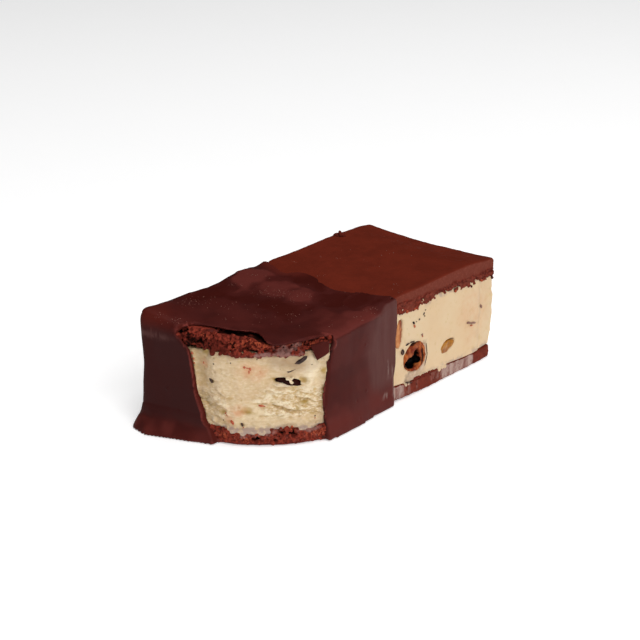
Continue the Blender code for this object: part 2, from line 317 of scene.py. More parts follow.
def colour(red, green, blue):
    """A colour as a screen shows it, 0 to 255, in the linear form that shaders take."""
    shown = [value / 255 for value in (red, green, blue)]
    linear = [v / 12.92 if v <= 0.04045 else ((v + 0.055) / 1.055) ** 2.4 for v in shown]
    return (*linear, 1.0)


class Finish:
    """A material under construction: its textures, its tone so far, and the shader at its end."""

    def __init__(self, name):
        self.material = bpy.data.materials.new(name)
        self.material.use_nodes = True
        self.tree = self.material.node_tree
        self.wire = Wire(self.tree)
        self.place = self.wire.node("TexCoord", out="Object")
        self.shader = self.tree.nodes["Principled BSDF"]
        self.tone = None
        self.reads = []

    def cloud(self, size, detail=3.0, up=1.0, rough=0.55):
        """Soft noise, its swells a number of millimetres apart, and flatter where up is over 1."""
        stretch = {0: self.place, 1: (1.0, 1.0, up)}
        place = self.wire.node("VectorMath", {"operation": "MULTIPLY"}, stretch)
        sockets = {"Vector": place, "Scale": 1 / (size * MM), "Detail": detail, "Roughness": rough}
        return self.wire.node("TexNoise", {}, sockets)

    def spots(self, size, out="Distance"):
        """Distance to the nearest of scattered points, or that point's own colour."""
        sockets = {"Vector": self.place, "Scale": 1 / (size * MM)}
        return self.wire.node("TexVoronoi", {}, sockets, out)

    def painted(self, name):
        """A number that each point of a piece has."""
        self.reads.append(name)
        return self.wire.node("Attribute", {"attribute_name": name}, out="Fac")

    def lay(self, share, *shown):
        """Lays a colour over the tone, where and as thickly as a share from 0 to 1 says."""
        self.tone = share.blend(self.tone, colour(*shown))

    def bump(self, height, distance, strength):
        sockets = {"Height": height, "Distance": distance * MM, "Strength": strength}
        return self.wire.node("Bump", {}, sockets, out="Normal")

    def close(self, fixed, **varying):
        """Sets the shader's sockets: fixed numbers on the socket itself, the rest as links."""
        for name, value in fixed.items():
            self.shader.inputs[name].default_value = value
        for name, wire in {"Base Color": self.tone, **varying}.items():
            self.tree.links.new(wire.socket, self.shader.inputs[name])
        return self


def put_on(piece, finish, slot, **shades):
    """Gives a piece its finish, with the numbers that the finish reads, and puts it on the bar."""
    for name in finish.reads:
        values = np.broadcast_to(shades.get(name, 0.0), len(piece.data.vertices))
        layer = piece.data.attributes.new(name, "FLOAT", "POINT")
        layer.data.foreach_set("value", np.clip(values, -4, 4).astype(np.float32))
    piece.data.materials.clear()
    piece.data.materials.append(finish.material)
    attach(piece, "root")


def wafer_finish(name):
    """Cocoa wafer: matt red-brown on its skin; broken, each crumb has its own brown, and its sunk places
    are painted black as painted shadow.
    """
    finish = Finish(name)
    names = ("relief", "broken", "frost", "rub", "kind", "glow")
    relief, broken, frost, rub, kind, glow = (finish.painted(name) for name in names)
    mottle = finish.cloud(7.0, 4.0)
    grit = finish.cloud(0.9)
    skin = mottle.rise(0.35, 0.68).blend(colour(98, 33, 19), colour(107, 37, 22))
    skin = (grit.rise(0.55, 0.8) * 0.3).blend(skin, colour(78, 24, 14))
    skin = rub.blend(skin, grit.rise(0.4, 0.7).blend(colour(112, 53, 41), colour(124, 63, 50)))
    crumbs = kind.rise(0.0, 0.8).blend(colour(84, 28, 20), colour(138, 54, 40))
    crumbs = (grit.rise(0.42, 0.7) * 0.5).blend(crumbs, colour(64, 20, 14))
    crumbs = (kind.rise(0.45, 1.0) * (glow * 0.9 + 0.05)).blend(crumbs, colour(170, 80, 52))
    # Painted shadow: sunk places in the crumb, deep holes and gaps, go nearly black.
    crumbs = relief.rise(-0.1, -0.9).blend(crumbs, colour(26, 6, 3))
    finish.tone = broken.blend(skin, crumbs)
    bands = finish.cloud(3.2, 2.0, up=0.12)
    icy = bands * (1 - broken) + finish.cloud(0.9, up=0.6) * broken
    covered = (frost + icy * 0.9 - 0.85).rise(-0.1, 0.5)
    frozen = icy.rise(0.35, 0.62).blend(colour(138, 98, 92), colour(204, 184, 172))
    frozen = broken.blend(frozen, colour(150, 110, 102))
    finish.tone = (covered * 0.85).blend(finish.tone, frozen)
    rough = 0.7 + mottle * 0.16 - covered * 0.12
    height = grit * 0.6 + finish.cloud(0.35, 2.0) * 0.4 + broken * finish.cloud(0.5, 2.0) * 1.5
    normal = finish.bump(height, 0.1, 0.5)
    return finish.close({"Specular IOR Level": 0.06}, Roughness=rough, Normal=normal)


cocoa_wafer = wafer_finish("cocoa wafer")
BITE_REGION_X = -27.0
BITE_FACING = np.array([-0.8, -0.6, 0.0])
CRUMB_GRID = 0.21
CRUMB_SIZES = (0.45, 2.0)


def patches(placed, spots, ragged=0.45, soft=0.35):
    """The union of uneven patches, each a place with its reach round and up, or along x, y and z."""
    union = np.zeros(len(placed))
    for spot in spots:
        reach = spot[3:] if len(spot) == 6 else (spot[3], *spot[3:])
        union = np.maximum(union, patch(placed, spot[:3], reach, ragged, soft))
    return union


# How thickly the cut side of the bottom wafer is frosted, at places along the bar.
FROST_ALONG = (
    (4.0, 0.5), (7.5, 0.62), (9.5, 0.95), (12.0, 0.5), (14.0, 0.8), (16.0, 0.2), (19.0, 0.3),
    (22.0, 0.12), (26.5, 0.3), (29.0, 0.62), (31.5, 0.5), (34.5, 0.85), (38.0, 1.0), (43.0, 0.9),
    (47.0, 1.0), (50.5, 0.85), (52.5, 0.12), (60.0, 0.05),
)


def plain_frost(placed, side_part):
    """Frost on the cut side of the bottom wafer, in drawn streaks."""
    x, _, z = placed.T
    streaks = waves(placed, 2.6, 8, 2, up=0.2)
    thick = np.interp(x + 0.6 * streaks, *zip(*FROST_ALONG))
    low = 0.75 + 0.25 * ease(z, 0.0, 2.5)
    return np.where(x > 3, side_part * thick * low * (1 + 0.5 * streaks), 0.0)


# Deep holes torn in the bottom wafer, which their depth paints black as painted shadow, and where
# its crumbs show rusty or frosted: each a place, then how far it reaches round and up.
LOW_HOLES = (
    (-46.3, -13.1, 2.2, 2.2, 0.8), (-41.2, -18.5, 4.0, 1.5, 0.9), (-38.8, -20.7, 3.9, 1.4, 0.8),
    (-50.6, -6.0, 5.2, 1.0, 0.8), (-33.5, -24.5, 5.0, 0.9, 0.9), (-43.0, -17.0, 1.6, 1.0, 0.6),
)
RUSTY_LOW = (
    (-51.0, -3.2, 2.6, 2.4, 1.2), (-33.0, -24.8, 3.2, 3.0, 1.2), (-48.9, -9.9, 2.3, 1.6, 1.4),
    (-47.0, -12.9, 3.9, 1.2, 1.0), (-38.3, -20.4, 5.2, 1.6, 1.0),
)
FROSTED_LOW = (
    (-45.0, -13.7, 4.5, 4.5, 0.9), (-49.4, -9.5, 3.6, 1.1, 1.4), (-35.0, -23.5, 4.8, 3.6, 0.8),
)
# Where ice cream squeezed out over the bottom wafer's edge, in the bite and along the cut side.
SQUEEZED = (
    (-47.3, -11.6, 5.0, 5.6, 0.9), (-49.6, -9.3, 4.3, 0.9, 1.2), (-35.0, -23.5, 5.3, 4.0, 0.5),
    (-50.9, -5.6, 5.0, 2.0, 0.7),
)

bottom_wafer = fine_piece("bottom_wafer_sheet", "bottom_wafer", WAFER_GRID)
placed, facing = surface_of(bottom_wafer)
in_bite = ease(placed[:, 0], BITE_REGION_X + 3, BITE_REGION_X - 3)
on_face = in_bite * ease(facing @ BITE_FACING, 0.3, 0.7)
amount = WAFER_SWELL + 0.12 * waves(placed, 1.6, 5, 3)
amount += on_face * (0.5 * waves(placed, 3.2, 6, 2) - 0.5 - 1.3 * patches(placed, LOW_HOLES))
push(bottom_wafer, amount)
thinned(bottom_wafer, WAFER_TRIANGLES)
placed, facing = surface_of(bottom_wafer)
x = placed[:, 0]
relief, _ = relief_over(bottom_wafer, "bottom_wafer", where=x < BITE_REGION_X)
side_part = ease(np.abs(facing[:, 2]), 0.75, 0.45)
frost = plain_frost(placed, side_part)
broken = np.maximum(ease(x, -24, -30), 0.35 * side_part)
rub = np.where(x > 5, 0.5 * side_part, 0.0)
kind = 0.5 + 0.5 * waves(placed, 1.2, 4, 2)
shades = {"relief": relief, "broken": broken, "rub": rub, "frost": frost, "kind": kind}
put_on(bottom_wafer, cocoa_wafer, "wafer", **shades)
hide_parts("bottom_wafer")


def bitten_low(places, normals):
    x, y, _ = places.T
    return (normals @ BITE_FACING > 0.3) & (x < BITE_REGION_X) & (y < 4)


def cut_low(places, normals):
    return (places[:, 0] > 5) & (np.abs(normals[:, 2]) < 0.5)


places, normals = scattered(bottom_wafer, 1700, bitten_low)
places += 0.3 * normals
kept = (patches(places, LOW_HOLES, 0.3) < 0.5) & (patches(places, SQUEEZED, 0.35) < 0.6)
low_crumb, relief, kind = crumb_blanket(
    "bottom_wafer_crumb", ["bottom_wafer"], places[kept], normals[kept], CRUMB_SIZES, 0.1, CRUMB_GRID
)
placed = points_of(low_crumb)
# Painted shadow: some crumbs are marked as sunk, which paints them black, as dark gaps between crumbs.
relief -= 0.8 * (kind < 0.24)
frost = 0.3 + 0.5 * patches(placed, FROSTED_LOW, 0.5, 1.2)
shades = {"relief": relief, "broken": 1.0, "kind": 0.1 + 0.9 * kind, "frost": frost}
put_on(low_crumb, cocoa_wafer, "wafer", glow=patches(placed, RUSTY_LOW), **shades)

places, normals = scattered(bottom_wafer, 420, cut_low)
low_grit, relief, kind = crumb_blanket(
    "bottom_wafer_grit", ["bottom_wafer"], places, normals, (0.35, 0.9), 0.05, 0.26
)
# Painted shadow: some crumbs are marked as sunk, which paints them black, as dark gaps between crumbs.
relief -= 0.7 * (kind < 0.15)
frost = plain_frost(points_of(low_grit), 1.0)
shades = {"relief": relief, "broken": 0.5, "rub": 0.5, "frost": frost, "kind": kind}
put_on(low_grit, cocoa_wafer, "wafer", **shades)

# ---- Ice cream ----
# Churned ice cream, frozen hard in a slab and cut with a wet knife. Its sides are smooth, and the
# bite leaves scallops, drawn ledges and small pits where bubbles and bits of fruit were.

ICE_GRID = 0.32
ICE_SWELL = 0.22
ICE_TRIANGLES = 197_000

# The pits in the bite: each a place, a radius and a depth.
ICE_PITS = (
    (-51.4, 1.8, 19.8, 0.8, 0.9), (-50.8, -2.8, 10.2, 1.0, 0.8), (-47.5, -9.3, 11.2, 2.2, 0.7),
    (-44.6, -12.5, 12.6, 0.9, 0.7), (-34.2, -22.5, 13.8, 1.2, 0.6), (-36.3, -20.6, 11.6, 1.1, 0.6),
    (-29.2, -25.6, 23.4, 1.2, 0.6), (-48.9, -8.7, 6.6, 0.9, 0.7), (-35.0, -22.0, 20.8, 1.3, 0.6),
    (-40.6, -15.9, 21.3, 1.1, 0.6), (-50.2, -5.0, 7.4, 1.3, 0.5), (-49.6, -4.6, 15.0, 1.4, 0.4),
    (-38.0, -19.3, 8.6, 1.2, 0.35), (-33.2, -23.6, 9.4, 1.0, 0.5), (-36.8, -20.2, 16.6, 0.9, 0.5),
    (-39.4, -17.6, 14.6, 0.8, 0.5), (-50.8, 3.4, 28.6, 1.4, 0.6),
)
# Ledges that the teeth drew, each from one (place across, height) to another, with its sag,
# how far it stands out, and how far above it the swell reaches.
ICE_LEDGES = (
    ((-20.5, 14.3), (-4.0, 10.3), 0.7, 0.85, 3.4), ((-13.0, 19.4), (-4.5, 18.6), -0.2, 0.8, 1.6),
    ((-16.0, 17.6), (-3.0, 14.6), 0.5, 0.6, 2.2), ((-31.0, 17.2), (-25.0, 14.2), -0.4, 0.5, 2.6),
    ((-14.5, 8.7), (-8.8, 8.6), 0.1, 0.3, 0.9), ((-33.0, 12.4), (-26.5, 11.2), 0.3, 0.4, 2.0),
    ((-12.5, 12.9), (-1.5, 10.6), -0.3, 0.6, 1.8), ((-24.0, 11.6), (-17.5, 10.8), -0.5, 0.5, 1.6),
    ((-27.0, 23.0), (-21.5, 21.6), 0.3, 0.25, 1.8),
)
# Where the bite is painted paler, as painted light on its lower middle and right; then where the ice
# cream is pinker and yellower than elsewhere. The last two blushes are on the cut side, and reach along
# x, y and z.
PAINTED_LIGHT_PLACES = (
    (-45.5, -12.5, 9.5, 7.0, 4.6), (-36.5, -20.5, 15.5, 8.0, 7.5), (-31.5, -24.5, 22.0, 4.0, 8.0),
)
BLUSHES = (
    (-51.9, 4.3, 25.2, 1.3, 1.7), (-45.5, -10.5, 24.3, 3.6, 2.4), (-50.6, -5.0, 8.0, 1.4, 1.5),
    (-49.5, -7.2, 11.0, 2.6, 1.6), (-44.4, -12.7, 12.7, 0.8, 0.5),
    (51.0, -28.5, 20.0, 8.0, 3.0, 9.0), (44.9, -28.3, 21.5, 1.7, 3.0, 5.0),
)
OCHRES = (
    (-50.8, -2.8, 10.0, 0.9, 0.6), (-47.5, -9.3, 10.9, 2.0, 0.8), (-34.4, -22.4, 13.4, 1.3, 0.7),
    (-36.4, -20.8, 11.4, 1.2, 0.7), (-29.2, -25.6, 23.0, 0.8, 1.6), (-34.6, -22.3, 21.0, 1.5, 1.2),
    (-41.0, -15.5, 21.3, 1.1, 0.9), (-36.6, -20.4, 19.8, 1.6, 0.6), (-50.3, 3.9, 29.4, 1.6, 1.2),
)
# Clear syrup that the nut's sugar bled into the ice cream round it.
SYRUPS = (
    (21.6, -28.2, 12.0, 2.0, 3.0, 5.4), (16.4, -28.2, 6.9, 4.4, 3.0, 1.9),
)


def across_bite(points):
    """How far along the bite each point is, from its left to its right."""
    return points[:, 0] * 0.6 - points[:, 1] * 0.8


def ledge(points, start, stop, sag, height, reach):
    """A drawn ledge: it stands out at its line, fades above it and is undercut below."""
    share = (across_bite(points) - start[0]) / (stop[0] - start[0])
    line = start[1] + (stop[1] - start[1]) * share + 4 * sag * share * (1 - share)
    above = points[:, 2] - line + 0.45 * waves(points, 2.4, 17, 2)
    there = ease(share, -0.05, 0.2) * ease(share, 1.05, 0.8)
    proud = ease(above, -0.15, 0.3) * ease(above, reach, 0.3)
    under = ease(above, 0.15, -0.25) * ease(above, -1.3, -0.25)
    return there * height * proud, there * height * under


def tooth_marks(points):
    """How far the bite's face stands out at each point, how hollow and how churned it looks."""
    z = points[:, 2]
    across = across_bite(points)
    broad = 0.4 * waves(points, 7.0, 31, 2, up=1.4)
    hollow = np.zeros(len(points))
    for ends in ICE_LEDGES:
        proud, under = ledge(points, *ends)
        broad += 0.8 * proud - 0.3 * under
        hollow = np.maximum(hollow, 0.8 * under)
    low_left = ease(across, -20, -12) * ease(z, 20, 16) * ease(z, 8, 10)
    low_right = 0.4 * ease(across, -24, -30) * ease(z, 20, 15)
    wrinkled = 0.22 + 0.78 * np.maximum(low_left, low_right)
    line = z + 0.22 * across + 1.5 * waves(points, 4.6, 33, 2)
    step = line / 2.3 - np.floor(line / 2.3)
    broken_up = ease(waves(points, 3.2, 35, 2), -0.2, 0.3) * wrinkled
    terrace = (1 - step) * ease(step, 0.0, 0.16)
    broad += 0.85 * broken_up * (terrace - 0.5)
    hollow = np.maximum(hollow, broken_up * ease(step, 0.7, 0.95) * ease(step, 1.0, 0.95))
    crumple = waves(points, 1.9, 37, 3, up=1.5)
    broad += (0.1 + 0.4 * wrinkled) * crumple
    hollow = np.maximum(hollow, 0.8 * wrinkled * ease(crumple, -0.35, -0.9))
    broad += (0.05 + 0.2 * wrinkled) * waves(points, 1.0, 41, 2, up=1.8)
    rib = across + 0.6 + 0.1 * (30 - z)
    broad += 0.75 * np.exp(-((rib / 1.6) ** 2)) * ease(z, 14, 20)
    for *place, radius, depth in ICE_PITS:
        away = np.linalg.norm((points - place) * (1, 1, 1.5), axis=1)
        away += 0.35 * radius * waves(points, radius, 39, 1)
        dip = np.exp(-((away / radius) ** 2))
        broad -= depth * dip
        hollow = np.maximum(hollow, 0.9 * ease(dip, 0.35, 0.8))
    near, kind = grains(points, 1.5, 43)
    bubble = (kind > 0.86) * ease(near, 0.3, 0.08)
    broad -= 0.35 * bubble + 0.5 * ease(z, 28.8, 30.2) + 0.9 * ease(z, 30.4, 31.4)
    broad -= (0.5 + 0.6 * ease(z, 22, 8)) * ease(across, -30.5, -36.0)
    return broad, np.maximum(hollow, 0.7 * bubble), wrinkled


def squeezed_out(places, normals):
    x, _, z = places.T
    in_bite = (patches(places, SQUEEZED, 0.2) > 0.4) & (normals @ BITE_FACING > -0.2)
    cut_side = (x > 5) & (x < 16) | (x > 30) & (x < 50)
    cut_side &= (z > 4.4) & (normals[:, 1] < -0.3) & (waves(places, 3.0, 51, 2) > 0)
    return np.where(in_bite, 5.0, 0.0) + np.where(cut_side, 1.0, 0.0)


places, normals = scattered(bottom_wafer, 340, squeezed_out)
squeezed = []
for place, normal in zip(places, normals):
    size, sunk = (1.3, 0.35) if place[0] > 0 else (1.5, 0.1)
    size += 0.5 * chance.random()
    squeezed.append(crumb(place - sunk * size * normal, size, 0.15, 2))
ice_cream = fine_piece("ice_cream_slab", "ice_cream", ICE_GRID, squeezed)
placed = points_of(ice_cream)
x, y, z = placed.T
bite = (x < -20) & (z > 3) & (z < 35)
amount = ICE_SWELL + 0.07 * waves(placed, 18.0, 47, 2, up=2.0)
amount[bite] = ICE_SWELL + tooth_marks(placed[bite])[0] * ease(z[bite], 4.4, 6.0)
far = x > 54
drips = waves(placed[far] * (0.3, 0.3, 1.0), 3.0, 49, 2)
amount[far] += 0.3 * drips * ease(y[far], -18, -26) - 0.25
push(ice_cream, amount)
thinned(ice_cream, ICE_TRIANGLES)

placed = points_of(ice_cream)
x, _, z = placed.T
bite = (x < -20) & (z > 3) & (z < 35)
relief, feet = relief_over(ice_cream, "ice_cream", where=bite)
hollow, churn = np.zeros((2, len(placed)))
_, hollow[bite], churn[bite] = tooth_marks(feet[bite])
# Painted shade on the ice cream under the broken wafer and at the bite's two ends, then where the wafers
# stained it.
across = across_bite(placed)
painted_shade = np.where(bite, 0.85 * ease(z, 26.5, 30.5), 0.0)
painted_shade = np.maximum(painted_shade, np.where(bite, 0.3 * ease(across, -31.5, -35.5), 0.0))
painted_shade = np.maximum(painted_shade, np.where(bite, 0.55 * ease(across, 0.6, 3.0), 0.0))
painted_shade = np.maximum(painted_shade, patch(placed, (-38.0, -19.0, 27.0), (7.0, 7.0, 3.2), 0.3, 1.2))
stain = np.maximum(ease(z, 7.0, 5.2), ease(z, 30.2, 31.4))
milky = np.where(bite, ease(z, 6.2, 4.8), 0.0)
stain += 0.8 * milky
# The milky band keeps none of the painted highlight.
relief -= 1.2 * milky * (relief > 0)
syrup = patches(placed, SYRUPS, 0.25, 0.4)
shades = {
    "relief": relief,
    "hollow": hollow,
    "painted_shade": painted_shade,
    "stain": stain,
    "blush": patches(placed, BLUSHES, 0.4, 1.3) * np.where(x > 0, 0.4, 1.0),
    "ochre": patches(placed, OCHRES, 0.35, 1.2) * np.where(x > 0, 0.35, 1.0),
    "syrup": syrup,
    "rim": 4 * syrup * (1 - syrup),
    "churn": churn,
    "pale": patches(placed, PAINTED_LIGHT_PLACES, 0.5, 1.4),
}


def ice_cream_finish():
    """Pale churned ice cream: creamy white, with painted highlights on its proud parts and painted yellow
    shade in its hollows, and a damp soft shine.
    """
    finish = Finish("vanilla ice cream")
    relief = finish.painted("relief")
    wide = finish.cloud(16.0)
    small = finish.cloud(2.0, 4.0)
    finish.tone = wide.rise(0.35, 0.65).blend(colour(221, 195, 158), colour(219, 189, 149))
    # Painted light: the lower middle and right of the bite are painted paler.
    finish.lay(finish.painted("pale") * wide.rise(0.3, 0.6) * 0.6, 238, 218, 178)
    # Painted highlight on the bite's proud parts and painted shade in its sunk parts, both from their
    # relief.
    finish.lay(relief.rise(0.25, 0.9) * 0.75, 245, 228, 198)
    finish.lay(relief.rise(0.0, -0.8) * 0.6, 204, 173, 116)
    finish.lay(small.rise(0.56, 0.72) * 0.35, 200, 169, 114)
    churn = finish.painted("churn")
    folds = finish.cloud(1.3, 5.0, up=2.0, rough=0.65)
    # Painted highlight on the ridges of the fine folds and painted yellow shade in their troughs, where
    # the bite is churned; the folds are bumped as well.
    finish.lay(churn * folds.rise(0.49, 0.6) * 0.85, 252, 238, 208)
    finish.lay(churn * folds.rise(0.47, 0.37) * 0.75, 200, 164, 100)
    # Painted shade: a darker, greyer tone under the broken wafer and at the bite's ends.
    finish.lay(finish.painted("painted_shade") * 0.8, 170, 140, 108)
    # Painted yellow shade in the bite's hollows: under the drawn ledges, in pits and in the crumple's
    # troughs.
    finish.lay(finish.painted("hollow") * 0.65, 188, 150, 86)
    finish.lay(finish.painted("ochre") * small.rise(0.25, 0.6) * 0.8, 176, 144, 70)
    finish.lay(finish.painted("blush") * small.rise(0.2, 0.65) * 0.6, 216, 148, 108)
    stain = finish.painted("stain")
    stain = stain * small.rise(0.42, 0.6) + stain.rise(1.0, 1.8) * 0.8
    finish.lay(stain * 0.7, 176, 152, 138)
    clear = small.rise(0.4, 0.65).blend(colour(176, 148, 124), colour(204, 178, 156))
    finish.tone = (finish.painted("syrup") * 0.8).blend(finish.tone, clear)
    finish.lay(finish.painted("rim") * small.rise(0.35, 0.55) * 0.6, 104, 76, 60)
    speck = finish.spots(2.1).rise(0.13, 0.07) * finish.spots(2.1, "Color").rise(0.84, 0.86)
    finish.lay(speck * 0.6, 138, 100, 62)
    rough = 0.5 + small * 0.14
    height = small * 0.5 + finish.cloud(0.5) * 0.35 + churn * folds * 2.0
    fixed = {
        "Specular IOR Level": 0.25,
        "Subsurface Weight": 0.1,
        "Subsurface Radius": (0.9, 0.6, 0.35),
        "Subsurface Scale": 0.0015,
    }
    normal = finish.bump(height, 0.16, 0.6)
    return finish.close(fixed, Roughness=rough, Normal=normal)


vanilla = ice_cream_finish()
put_on(ice_cream, vanilla, "ice_cream", **shades)
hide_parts("ice_cream")

# ---- Top wafer ----
# The same wafer, laid on the ice cream with its smooth baked side up. Its cut edges shed a line
# of crumb over the ice cream, and in the bite it is broken open under the chocolate.

# Where the shell stands off the wafer by the bite: the line of the hollow under it, which its depth
# paints black as painted shadow. Then where the wafer's broken edge is frosted, and where rusty.
HOLLOW_LINE = (
    (-46.2, 2.0), (-43.6, -4.0), (-41.0, -8.5), (-42.4, -13.5), (-40.4, -17.5), (-38.6, -18.8),
)
FROSTED_TOP = (
    (-39.3, -18.6, 31.4, 3.6, 2.0), (-43.5, -13.0, 30.3, 2.6, 0.8), (-36.5, -21.0, 33.4, 1.6, 0.8),
    (-33.0, -23.8, 31.0, 1.5, 0.7),
)
RUSTY_TOP = (
    (-44.4, -10.9, 33.6, 4.2, 1.7), (-34.9, -23.0, 34.8, 2.6, 2.0), (-37.6, -20.4, 33.6, 1.6, 1.2),
    (-50.6, 3.6, 33.4, 2.6, 1.4), (-47.0, -6.5, 32.4, 2.6, 1.3),
)
# Holes torn in the wafer's broken edge, which their depth paints black as painted shadow.
TOP_HOLES = (
    (-51.8, 6.1, 32.2, 1.3, 0.9), (-48.9, -4.9, 32.3, 1.1, 0.8), (-41.3, -20.0, 35.4, 1.3, 0.6),
    (-31.7, -25.3, 35.2, 1.1, 0.7), (-33.0, -23.8, 33.9, 0.7, 0.5), (-43.4, -14.0, 31.8, 1.0, 0.5),
    (-53.4, 12.9, 34.8, 1.5, 3.0, 0.8),
)


def off_line(places, line):
    """How far each place is from a line seen from above."""
    nearest = np.full(len(places), 99.0)
    for start, stop in zip(np.array(line), np.array(line)[1:]):
        along = (places[:, :2] - start) @ (stop - start) / ((stop - start) @ (stop - start))
        foot = start + np.clip(along, 0, 1)[:, None] * (stop - start)
        nearest = np.minimum(nearest, np.linalg.norm(places[:, :2] - foot, axis=1))
    return nearest


def edge_fall(x):
    """How much higher than at the far end the wafer's underside lies at a place along the bar."""
    return 0.035 * (60 - x)


top_wafer = fine_piece("top_wafer_sheet", "top_wafer", WAFER_GRID)
placed, facing = surface_of(top_wafer)
in_bite = ease(placed[:, 0], BITE_REGION_X + 3, BITE_REGION_X - 3)
on_face = in_bite * ease(facing @ BITE_FACING, 0.2, 0.7)
amount = WAFER_SWELL + 0.06 * waves(placed, 1.6, 15, 3)
amount += on_face * (0.4 * waves(placed, 3.0, 16, 2) - 0.5 - 1.2 * patches(placed, TOP_HOLES))
amount += 0.14 * ease(facing[:, 2], 0.6, 0.95) * waves(placed, 13.0, 18, 2)
push(top_wafer, amount)
placed = points_of(top_wafer)
x, y, z = placed.T
# The wafer sinks along the hollow's line; its negative relief there paints it black as painted shadow.
sunk = ease(off_line(placed, HOLLOW_LINE), 3.0, 1.2) * ease(z, 33.0, 34.8)
placed[:, 2] -= sunk * (1.1 + 0.3 * waves(placed, 2.5, 19, 2))
# The far end's upper edges dip and rise a little.
high = ease(z, 33.0, 36.5)
back_dip = ease(y, 16, 27) * np.exp(-(((x - 48) / 7) ** 2))
end_dip = ease(x, 48, 57) * np.exp(-(((y - 3) / 11) ** 2))
corner_rise = ease(x, 52, 57) * ease(y, 17, 25)
placed[:, 2] += high * (0.3 * corner_rise - 0.45 * back_dip - 0.4 * end_dip)
move_points(top_wafer, placed)
thinned(top_wafer, WAFER_TRIANGLES)
placed, facing = surface_of(top_wafer)
x, _, z = placed.T
relief, _ = relief_over(top_wafer, "top_wafer", where=x < BITE_REGION_X)
side_part = ease(np.abs(facing[:, 2]), 0.8, 0.45)
plain = x > 3
base_line = 31.0 + edge_fall(x)
lower = ease(z - base_line + 0.7 * waves(placed, 2.0, 20, 2), 2.7, 1.3)
broken = np.where(plain, side_part * lower, ease(x, -24, -30))
rub = np.where(plain, 0.9 * side_part * (1 - 0.85 * lower), 0.0)
kind = 0.5 + 0.5 * waves(placed, 1.2, 4, 2)
# Painted shade: low on the cut side the sheet takes the darkest crumb colour, so the gaps between the
# crumbs on it read dark.
kind[plain] *= 1 - 0.7 * lower[plain]
put_on(top_wafer, cocoa_wafer, "wafer", relief=relief, broken=broken, rub=rub, kind=kind)
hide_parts("top_wafer")


def bitten_high(places, normals):
    x, y, _ = places.T
    facing = (normals @ BITE_FACING > 0.2) & (normals[:, 2] < 0.85)
    return facing & (x < BITE_REGION_X) & (y < 15) & (normals[:, 2] > -0.9)


def hanging_in_bite(places, normals):
    """Just under the broken wafer, where its crumb is stuck to the ice cream."""
    x, _, z = places.T
    down_to = 29.7 + 0.5 * waves(places, 2.6, 53, 2)
    low = (z > down_to) & (z < 31.3) & (x < BITE_REGION_X)
    across = across_bite(places)
    low &= (normals @ BITE_FACING > 0.1) & (normals[:, 2] < 0.7)
    return low & (across > -32.5) & (across < -3.0)


def shedding(places, normals):
    x, _, z = places.T
    edge = (x > 4) & (np.abs(normals[:, 2]) < 0.93)
    return edge & (z < 33.0 + edge_fall(x))


# How far down the crumb hangs on the ice cream's cut sides, at places along the bar.
HANGING_TO = (
    (4.0, 31.2), (10.0, 30.9), (16.0, 30.6), (21.0, 30.9), (29.0, 31.6), (36.0, 31.4),
    (44.0, 30.4), (53.0, 30.1), (62.0, 29.4),
)


def hanging_on_side(places, normals):
    """Crumb on the ice cream under the wafer's edge, thinner further down."""
    x, _, z = places.T
    down_to = np.interp(x, *zip(*HANGING_TO)) + 0.7 * waves(places, 2.2, 55, 2)
    thick = ease(z, down_to - 0.2, down_to + 1.1)
    return np.where((x > 4) & (z < 34) & (np.abs(normals[:, 2]) < 0.9), thick, 0)


def gathered(*scatters):
    """Several scatterings of places and normals as one, each lifted by its own millimetres."""
    lifted = [(places + lift * normals, normals) for (places, normals), lift in scatters]
    return [np.concatenate(arrays) for arrays in zip(*lifted)]


places, normals = gathered(
    (scattered(top_wafer, 1100, bitten_high), 0.3),
    (scattered(ice_cream, 420, hanging_in_bite), 0.35),
)
kept = (patches(places, TOP_HOLES, 0.3) < 0.5) & (normals[:, 2] < 0.9)
kept &= ~((off_line(places, HOLLOW_LINE) < 1.25) & (places[:, 2] > 34.3))
upper = ["top_wafer", "ice_cream"]
high_crumb, relief, kind = crumb_blanket(
    "top_wafer_crumb", upper, places[kept], normals[kept], CRUMB_SIZES, 0.1, CRUMB_GRID
)
placed = points_of(high_crumb)
x, _, z = placed.T
# Painted shadow: two patches of crumb at the bite's left end, and some crumbs among the others, are
# marked as sunk, which paints them black or darker.
relief -= 1.1 * patch(placed, (-53.0, 9.4, 32.2), (1.5, 2.6, 4.2), 0.3, 1.0) + 0.8 * (kind < 0.16)
relief -= 0.6 * patch(placed, (-51.8, 5.2, 32.0), (3.0, 4.4, 1.5), 0.4, 1.0)
kind *= 1 - 0.6 * ease(x, -48.5, -51.0) * ease(z, 34.4, 33.2)
frost = 0.75 * patches(placed, FROSTED_TOP, 0.6, 1.2) + 0.36 * ease(z, 31.2, 30.0)
glow = patches(placed, RUSTY_TOP, 0.5, 0.8)
shades = {"relief": relief, "broken": 1.0, "kind": kind, "frost": frost, "glow": glow}
put_on(high_crumb, cocoa_wafer, "wafer", **shades)

places, normals = gathered(
    (scattered(top_wafer, 700, shedding), -0.1),
    (scattered(ice_cream, 800, hanging_on_side), -0.1),
)
kept = waves(places, 3.0, 33, 2) > -0.6
high_grit, relief, kind = crumb_blanket(
    "top_wafer_grit", upper, places[kept], normals[kept], (0.6, 1.9), 0.05, 0.25
)
placed = points_of(high_grit)
x, _, z = placed.T
# Painted shadow: some crumbs are marked as sunk, which paints them black, as dark gaps between crumbs.
relief -= 0.8 * (kind < 0.3)
below = ease(z - edge_fall(x), 31.6, 30.6)
glow = 0.05 + 0.35 * below + 0.35 * ease(x, 44, 54)
mixed = 0.45 + 0.35 * waves(placed, 2.4, 34, 2) + 0.25 * below
shades = {"relief": relief, "broken": mixed, "rub": 1.0, "kind": 0.75 * kind, "glow": glow}
put_on(high_grit, cocoa_wafer, "wafer", **shades)

